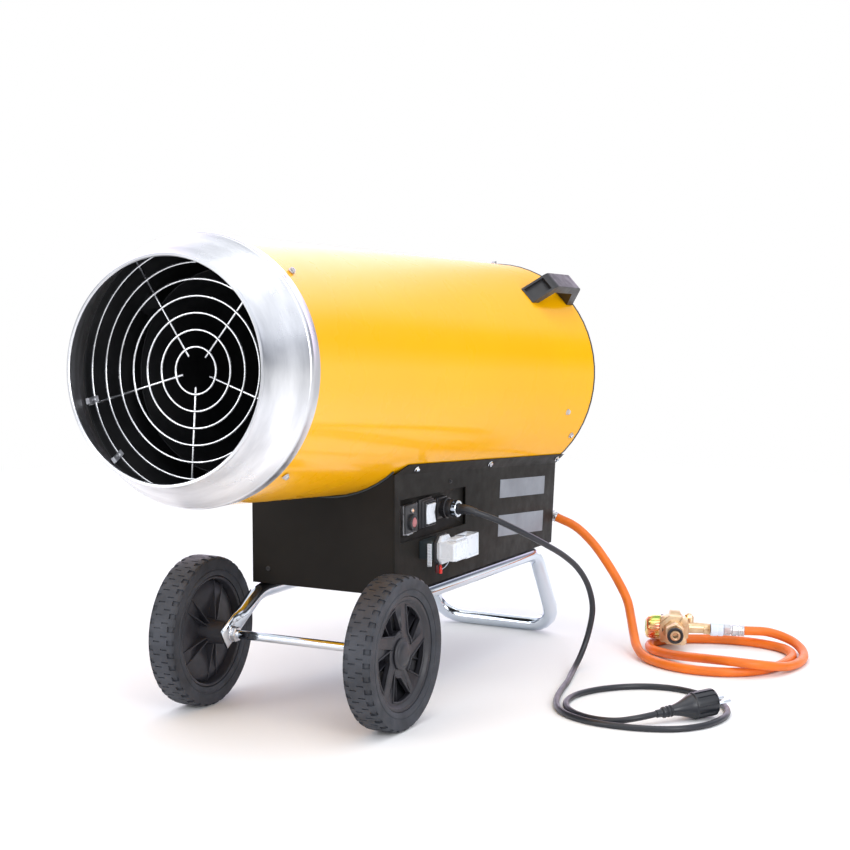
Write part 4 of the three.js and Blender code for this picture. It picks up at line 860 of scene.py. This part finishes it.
def make_window_borders():
    """The raised lips round the rim's windows."""
    outer = [(63, -0.05 + WINDOW_SPAN * i / 12) for i in range(13)]
    inner = [(30, 0.254 - 0.576 * i / 8) for i in range(9)]
    borders = []
    for window in range(WINDOWS):
        turn = math.tau * window / WINDOWS
        points = [Vector((0.1572, AXLE_Y - r * math.cos(a + turn) / 1000,
                          WHEEL_RADIUS - r * math.sin(a + turn) / 1000)) for r, a in outer + inner]
        borders.append(run_of_wire("lip", points, 1.5, closed=True, sides=2))
    ring = turned("ring", [(71.6, 161), (73.2, 162.2), (74.4, 162.2), (74.4, 160), (71.6, 161)], 96)
    return joined("window_lips_right", [*borders, set_down(ring, RIGHT_WHEEL)])


def make_rim_ribs():
    """Behind the web: a dished disc that closes the windows, pairs of ribs along each spoke and a ring."""
    disc = turned("disc", [(17, 141), (27, 139), (40, 136.5), (58, 136.5), (67, 140), (71, 146), (71, 148),
                           (66, 142), (58, 138.5), (40, 138.5), (27, 141), (17, 143), (17, 141)], 96)
    pieces = [set_down(disc, RIGHT_WHEEL)]
    for spoke in range(WINDOWS):
        for share in (-0.16, 0.16):
            rib = slab("rib", (16, -0.9, 127), (72, 0.9, 150.2))
            choose(rib, looks_along_x)
            bpy.ops.transform.resize(value=(1, 1, 0.5), center_override=(0, 0, 0.1502))
            end_edit()
            angle = math.pi / 2 + math.tau * spoke / WINDOWS + WINDOW_SPAN + share
            pieces.append(set_down(rib, RIGHT_WHEEL @ spun(angle)))
    ring = turned("ring", [(26, 140), (28, 140), (28, 150.2), (26, 150.2), (26, 140)])
    return joined("rim_ribs_right", [*pieces, set_down(ring, RIGHT_WHEEL)])


def make_hub_dome():
    return set_down(turned("hub_dome_right", [(21, 158.4), (21, 159.6), (20, 160.6), (17.4, 161),
                                              (16.2, 161.2), (15, 162.6), (12.4, 164), (8, 164.7),
                                              (0.3, 164.9)], 48), RIGHT_WHEEL)


WHEEL_PARTS = (
    (make_tyre(), "solid_tyre", TYRE, "tyre_rubber", "tyre", 28),
    (make_window_borders(), "window_lips", WHEEL_BLACK, "black_plastic", None, 60),
    (make_rim_ribs(), "rim_ribs", WHEEL_BLACK, "black_plastic", None, 35),
    (make_hub_dome(), "hub_dome", WHEEL_BLACK, "black_plastic", "hub_cap", 30))
for part, name, material, slot, node, angle in WHEEL_PARTS:
    for side, piece in (("right", part), ("left", copied(part, f"{name}_left", OPPOSITE))):
        finished(piece, material, f"wheel_{side}", angle, node and f"{node}_{side}")
for side in ("right", "left"):
    refine(f"rim_{side}", f"wheel_centre_{side}", WHEEL_BLACK, f"wheel_{side}",
           bevel=0.0012, segments=3)

refine("axle", "axle_rod", CHROME, bevel=0.0006)
refine("frame_tube", "bent_tube_frame", CHROME, angle=50)


def make_axle_fixings():
    """A washer and a hexagon nut on the inner side of each flattened tube end."""
    washer = turned("washer", [
        (6.4, 0), (10.6, 0), (10.8, 0.4), (10.8, 1.2), (10.4, 1.6), (6.4, 1.6), (6.4, 0)], 36)
    nut = turned("nut", [
        (6.3, 1.8), (9.8, 1.8), (10.4, 2.6), (10.4, 7.4), (9.8, 8.2), (6.3, 8.2), (6.3, 1.8)], 6)
    fixing = joined("axle_nut_right", [washer, nut])
    spare = copied(fixing, "axle_nut_left", Matrix.Identity(4))
    at_axle = at(*WHEEL_CENTRE)
    set_down(fixing, at_axle @ at(AXLE_NUT_X, 0, 0) @ spun(-math.pi / 2, "Y"))
    set_down(spare, at_axle @ at(-AXLE_NUT_X, 0, 0) @ ALONG_X)
    finished(fixing, GALVANISED)
    finished(spare, GALVANISED)


make_axle_fixings()


# ---------------------------------------------------------------- gas inlet, hose and regulator

refine("gas_inlet_elbow", "inlet_elbow", BRASS, bevel=0.0005)


def hexagon_band(name, radius, low, high, bore, corner=0.6):
    return turned(name, [(bore, low), (radius - corner, low), (radius, low + corner),
                         (radius, high - corner), (radius - corner, high), (bore, high), (bore, low)], 6)


def make_ferrule():
    """The crimped end of the hose at the appliance."""
    seat = standing(hose_line[0], hose_line[1] - hose_line[0])
    shell = turned("hose_end_ferrule", [(5.5, -10.3), (8.4, -10.2), (8.6, -9.4), (8.6, -8.2), (7.6, -7.4),
                                        (7.6, -5.4), (8.2, -4.8), (8.2, -3.4), (7.6, -2.8), (7.6, -1.4),
                                        (8, -0.9), (7.8, -0.3), (5.5, -0.3)], 48)
    finished(set_down(shell, seat), GALVANISED, stands_for="hose_ferrule")


make_ferrule()

hose_end = hose_line[-1]
regulator_way = (hose_end - hose_line[-2]).normalized()     # from the hose towards the cap
REGULATOR = standing(hose_end, regulator_way)
SPIGOT_WAY = Vector((0.413, -0.911, 0)).normalized()
SPIGOT_REACH, PORT_REACH = 0.1054, 0.0835                   # from the hose's end, along the regulator


def make_crimp():
    crimp = turned("crimped_ferrule", [(5.4, 0.3), (8.2, 0.4), (8.6, 1.2), (8.6, 3), (7.5, 3.8), (7.5, 5.6),
                                       (8.6, 6.4), (8.6, 8.4), (7.5, 9.2), (7.5, 11), (8.6, 11.8),
                                       (8.6, 17.6), (7.6, 18.6), (6, 19), (6, 22)], 48)
    band = hexagon_band("crimp_hexagon", 8.4, 20.6, 30.4, 4.5)
    whole = joined("crimped_ferrule", [crimp, band])
    finished(set_down(whole, REGULATOR), GALVANISED, stands_for="hose_crimp")
    collar = turned("outlet_collar_nut", [(5, 31.2), (9, 31.2), (9.6, 32), (9.6, 38), (8.9, 38.6),
                                          (8.9, 40.2), (9.6, 40.8), (9.6, 49.4), (9, 50.2), (5, 50.3)], 48)
    ribbed(collar, 8, 0.16, 9.2, 32, 49.6, 0.6)
    finished(set_down(collar, REGULATOR), COLLAR_WHITE, stands_for="outlet_collar")


make_crimp()


def make_regulator():
    """The forged body with its flat faces, lugs and ports, and the fluted cap behind a dark ring."""
    refine("regulator_body", "regulator_casting", BRASS, bevel=0.0012, segments=3)
    side = standing(hose_end + regulator_way * SPIGOT_REACH, SPIGOT_WAY)
    flange = turned("flange", [(23, 12), (23.8, 13), (23.8, 18), (22.6, 19.4), (16.5, 20), (15, 24.5),
                               (0.3, 24.6)], 8)
    set_down(flange, side @ spun(math.radians(42)))
    pieces = [flange]
    for angle, reach, length in ((65, 19.5, 27), (-28, 20.5, 25), (-118, 19.5, 24), (158, 20, 22)):
        way = Vector((math.cos(math.radians(angle)), math.sin(math.radians(angle)), 0)) * reach / 1000
        lug = turned("lug", [(6.2, 4), (6.6, 8), (6.6, length - 6), (5.8, length - 5), (3.4, length - 4.6),
                             (0.2, length - 4.5)], 20)
        pieces.append(set_down(lug, side @ at(*way)))
    neck = hexagon_band("neck_hexagon", 11.4, 84, 91, 7)
    pieces.append(set_down(neck, REGULATOR))
    ridge = turned("thread_end", [(7.6, 51), (8.4, 51.6), (7.8, 52.4), (8.4, 53.2), (7.8, 54), (8.4, 54.8),
                                  (7.8, 56), (7.8, 60)], 36)
    pieces.append(set_down(ridge, REGULATOR))
    finished(joined("regulator_lugs", pieces), BRASS, angle=30)
    port = hexagon_band("test_port_nut", 6.4, 14.5, 20, 2.6, 0.5)
    port_seat = standing(hose_end + regulator_way * PORT_REACH, Vector((0, 0.25, 1)).normalized())
    finished(set_down(port, port_seat), ZINC)
    plug = turned("test_port_plug", [(2.8, 15), (3.4, 15), (3.4, 21.5), (2.6, 22.2), (0.2, 22.3)], 20)
    finished(set_down(plug, port_seat), BRASS)
    cap = turned("regulator_spring_cap", [(17.4, 120.8), (17.6, 122), (17.6, 124), (18.4, 125.4),
                                          (17.6, 137), (16, 143.6), (13.4, 146), (11, 146.6), (10.4, 145.8),
                                          (0.3, 145.4)], 84)
    ribbed(cap, 14, 0.3, 15, 126, 144.5, 1.5)
    finished(soften(set_down(cap, REGULATOR), 0.0003, 2, 40), ZINC,
             stands_for="regulator_cap")
    ring = turned("cap_lock_ring", [(18.5, 120.5), (19.4, 121), (19.4, 123.4), (18.4, 124)], 60)
    finished(set_down(ring, REGULATOR), BLACK_PLASTIC)
    return side


regulator_side = make_regulator()
refine("regulator_inlet_nut", "cylinder_nut", BRASS, "inlet_nut", bevel=0.0008)


def make_seal():
    seal = turned("cylinder_seal", [(4.2, 52.4), (9.6, 52.4), (11.6, 53), (12, 54), (12, 56.6),
                                    (11.3, 57.8), (9.6, 58), (8.7, 57.4), (8.4, 56.2), (4.2, 56.2),
                                    (4.2, 52.4)], 48)
    finished(set_down(seal, regulator_side), BLACK_PLASTIC, stands_for="regulator_seal")
    tip = turned("spigot_tip", [(3.6, 52.5), (7.9, 52.5), (7.9, 56.6), (7.2, 57.4), (5.2, 57.6),
                                (4.2, 56.8), (3.6, 53), (3.6, 52.5)], 36)
    finished(set_down(tip, regulator_side), BRASS)


make_seal()


# ---------------------------------------------------------------- mains plug

def make_plug():
    """A moulded plug: a ringed sleeve on the lead, a flared neck and a head with finger flutes."""
    heading = (lead_line[-1] - lead_line[-2]).normalized()
    seat = standing(lead_line[-1] + heading * 0.0003, heading)
    plug = turned("rubber_plug", [
        (4.6, 0), (5.2, 0.4), (5.4, 8), (6.6, 8.6), (7.4, 10), (7.4, 12.4), (6.4, 13.2), (6.4, 15),
        (7.6, 15.8), (7.6, 17.4), (6.6, 18.2), (6.6, 19.8), (7.8, 20.6), (7.8, 22.2), (7, 23), (7.6, 27),
        (9.4, 34), (12, 41), (14.6, 47), (16, 51), (16.4, 53), (18, 54.4), (18.2, 56), (18.2, 60),
        (18.2, 70), (18.2, 80), (17.9, 84), (16.4, 86), (13.6, 86.2), (13.2, 84.4), (0.3, 84.2)], 96)
    ribbed(plug, 12, 0.5, 17.5, 57, 83, 1.3)
    return finished(set_down(plug, seat), LEAD_BLACK, angle=32, stands_for="mains_plug")


mains_plug = make_plug()
plug_pins = [refine(f"plug_pin_{letter}", f"plug_prong_{letter}", CHROME, bevel=0.0005,
                    segments=3)
             for letter in "ab"]
bpy.data.objects.remove(SCREW)

# ---------------------------------------------------------------- floor and light

FLOOR_FADES_FROM, FLOOR_WHITE_FROM = 0.9, 2.2       # metres from the middle of the floor
CAMERA_WAY = (-0.46, 0.887, 0)                      # the way the camera looks, laid level
ROOM_LOW, ROOM_HIGH = (0.8, 0.8, 0.8, 1), (0.95, 0.97, 1.0, 1)
ROOM_HEIGHTS = (                                    # the colours between them, by the sine of the height
    (0.04, (0.5, 0.51, 0.54, 1)), (0.16, (0.12, 0.13, 0.16, 1)),
    (0.3, (0.2, 0.22, 0.27, 1)), (0.42, (0.85, 0.88, 0.95, 1)))
FAR_WALL, NEAR_WALL = (2.05, 1.8, 2.2, 1), (0.7, 0.71, 0.74, 1)
ROOM_STRENGTH = 1.1


def lay_floor():
    """A pale floor that runs out into the white backdrop, as a studio sheet does."""
    bpy.ops.mesh.primitive_plane_add(size=40)
    floor = bpy.context.object
    floor.name = "studio_floor"
    material, shader = blank_finish("pale_floor", (0.9, 0.9, 0.9), 0.8, 0, 0.2)
    mottled(material, shader, noise(material, 0.6, 2), (0.895, 0.895, 0.895), (0.905, 0.905, 0.905))
    tree = material.node_tree
    away = add_node(tree, "VectorMath", {0: add_node(tree, "TexCoord")["Object"]}, operation="LENGTH")
    mix = add_node(tree, "MixShader", {
        "Fac": rising(tree, away["Value"], FLOOR_FADES_FROM, FLOOR_WHITE_FROM),
        1: shader.outputs["BSDF"], 2: add_node(tree, "Emission")["Emission"]})
    tree.links.new(mix["Shader"], tree.nodes["Material Output"].inputs["Surface"])
    floor.data.materials.append(material)


def add_softbox(name, place, target, size, energy):
    bpy.ops.object.light_add(type="AREA", location=place)
    light = bpy.context.object
    light.name = name
    light.data.shape = "RECTANGLE"
    light.data.size, light.data.size_y = size
    light.data.energy = energy
    light.rotation_euler = (Vector(target) - Vector(place)).to_track_quat("-Z", "Y").to_euler()


def hang_studio():
    """A white backdrop. Light and reflections come from a room that is bright above and straight beyond
    the heater, where the top of the casing mirrors it, less bright behind the camera, and dark at eye level
    to both sides."""
    world = bpy.data.worlds.new("studio")
    bpy.context.scene.world = world
    world.use_nodes = True
    tree = world.node_tree
    backdrop = tree.nodes["Background"]
    backdrop.inputs["Color"].default_value = (1, 1, 1, 1)
    backdrop.inputs["Strength"].default_value = 1.0
    way = add_node(tree, "TexCoord")["Generated"]
    height = add_node(tree, "SeparateXYZ", {"Vector": way})["Z"]
    heights = add_node(tree, "ValToRGB", {"Fac": height})["Color"]
    ramp = heights.node.color_ramp
    ramp.elements[0].color, ramp.elements[1].color = ROOM_LOW, ROOM_HIGH
    for position, colour in ROOM_HEIGHTS:
        ramp.elements.new(position).color = colour

    # lit up on the near side, then a bright window on the far side that ends below the cone's mirror line
    ahead = add_node(tree, "VectorMath", {0: way, 1: CAMERA_WAY}, operation="DOT_PRODUCT")["Value"]
    near_wall = add_node(tree, "MixRGB", {
        "Fac": rising(tree, ahead, -0.3, -0.75), "Color1": heights, "Color2": NEAR_WALL},
        blend_type="LIGHTEN")
    window = add_node(tree, "Math", {
        0: rising(tree, ahead, 0.62, 0.84), 1: rising(tree, height, 0.64, 0.48)}, operation="MULTIPLY")
    walls = add_node(tree, "MixRGB", {
        "Fac": window["Value"], "Color1": near_wall["Color"], "Color2": FAR_WALL})
    room = add_node(tree, "Background", {"Color": walls["Color"], "Strength": ROOM_STRENGTH})
    mix = add_node(tree, "MixShader", {
        "Fac": add_node(tree, "LightPath")["Is Camera Ray"],
        1: room["Background"], 2: backdrop.outputs["Background"]})
    tree.links.new(mix["Shader"], tree.nodes["World Output"].inputs["Surface"])


lay_floor()
hang_studio()
add_softbox("softbox_above", (0.3, -0.5, 3.2), (0, 0, 0.3), (3.0, 3.0), 34)
add_softbox("softbox_right", (3.0, -2.0, 1.5), (0, 0, 0.35), (1.8, 1.8), 52)
add_softbox("softbox_left", (-2.0, -3.2, 1.4), (0, 0, 0.35), (1.8, 1.8), 40)
bpy.context.scene.view_settings.view_transform = "Standard"

# ---------------------------------------------------------------- last update of the scene

bpy.context.view_layer.update()
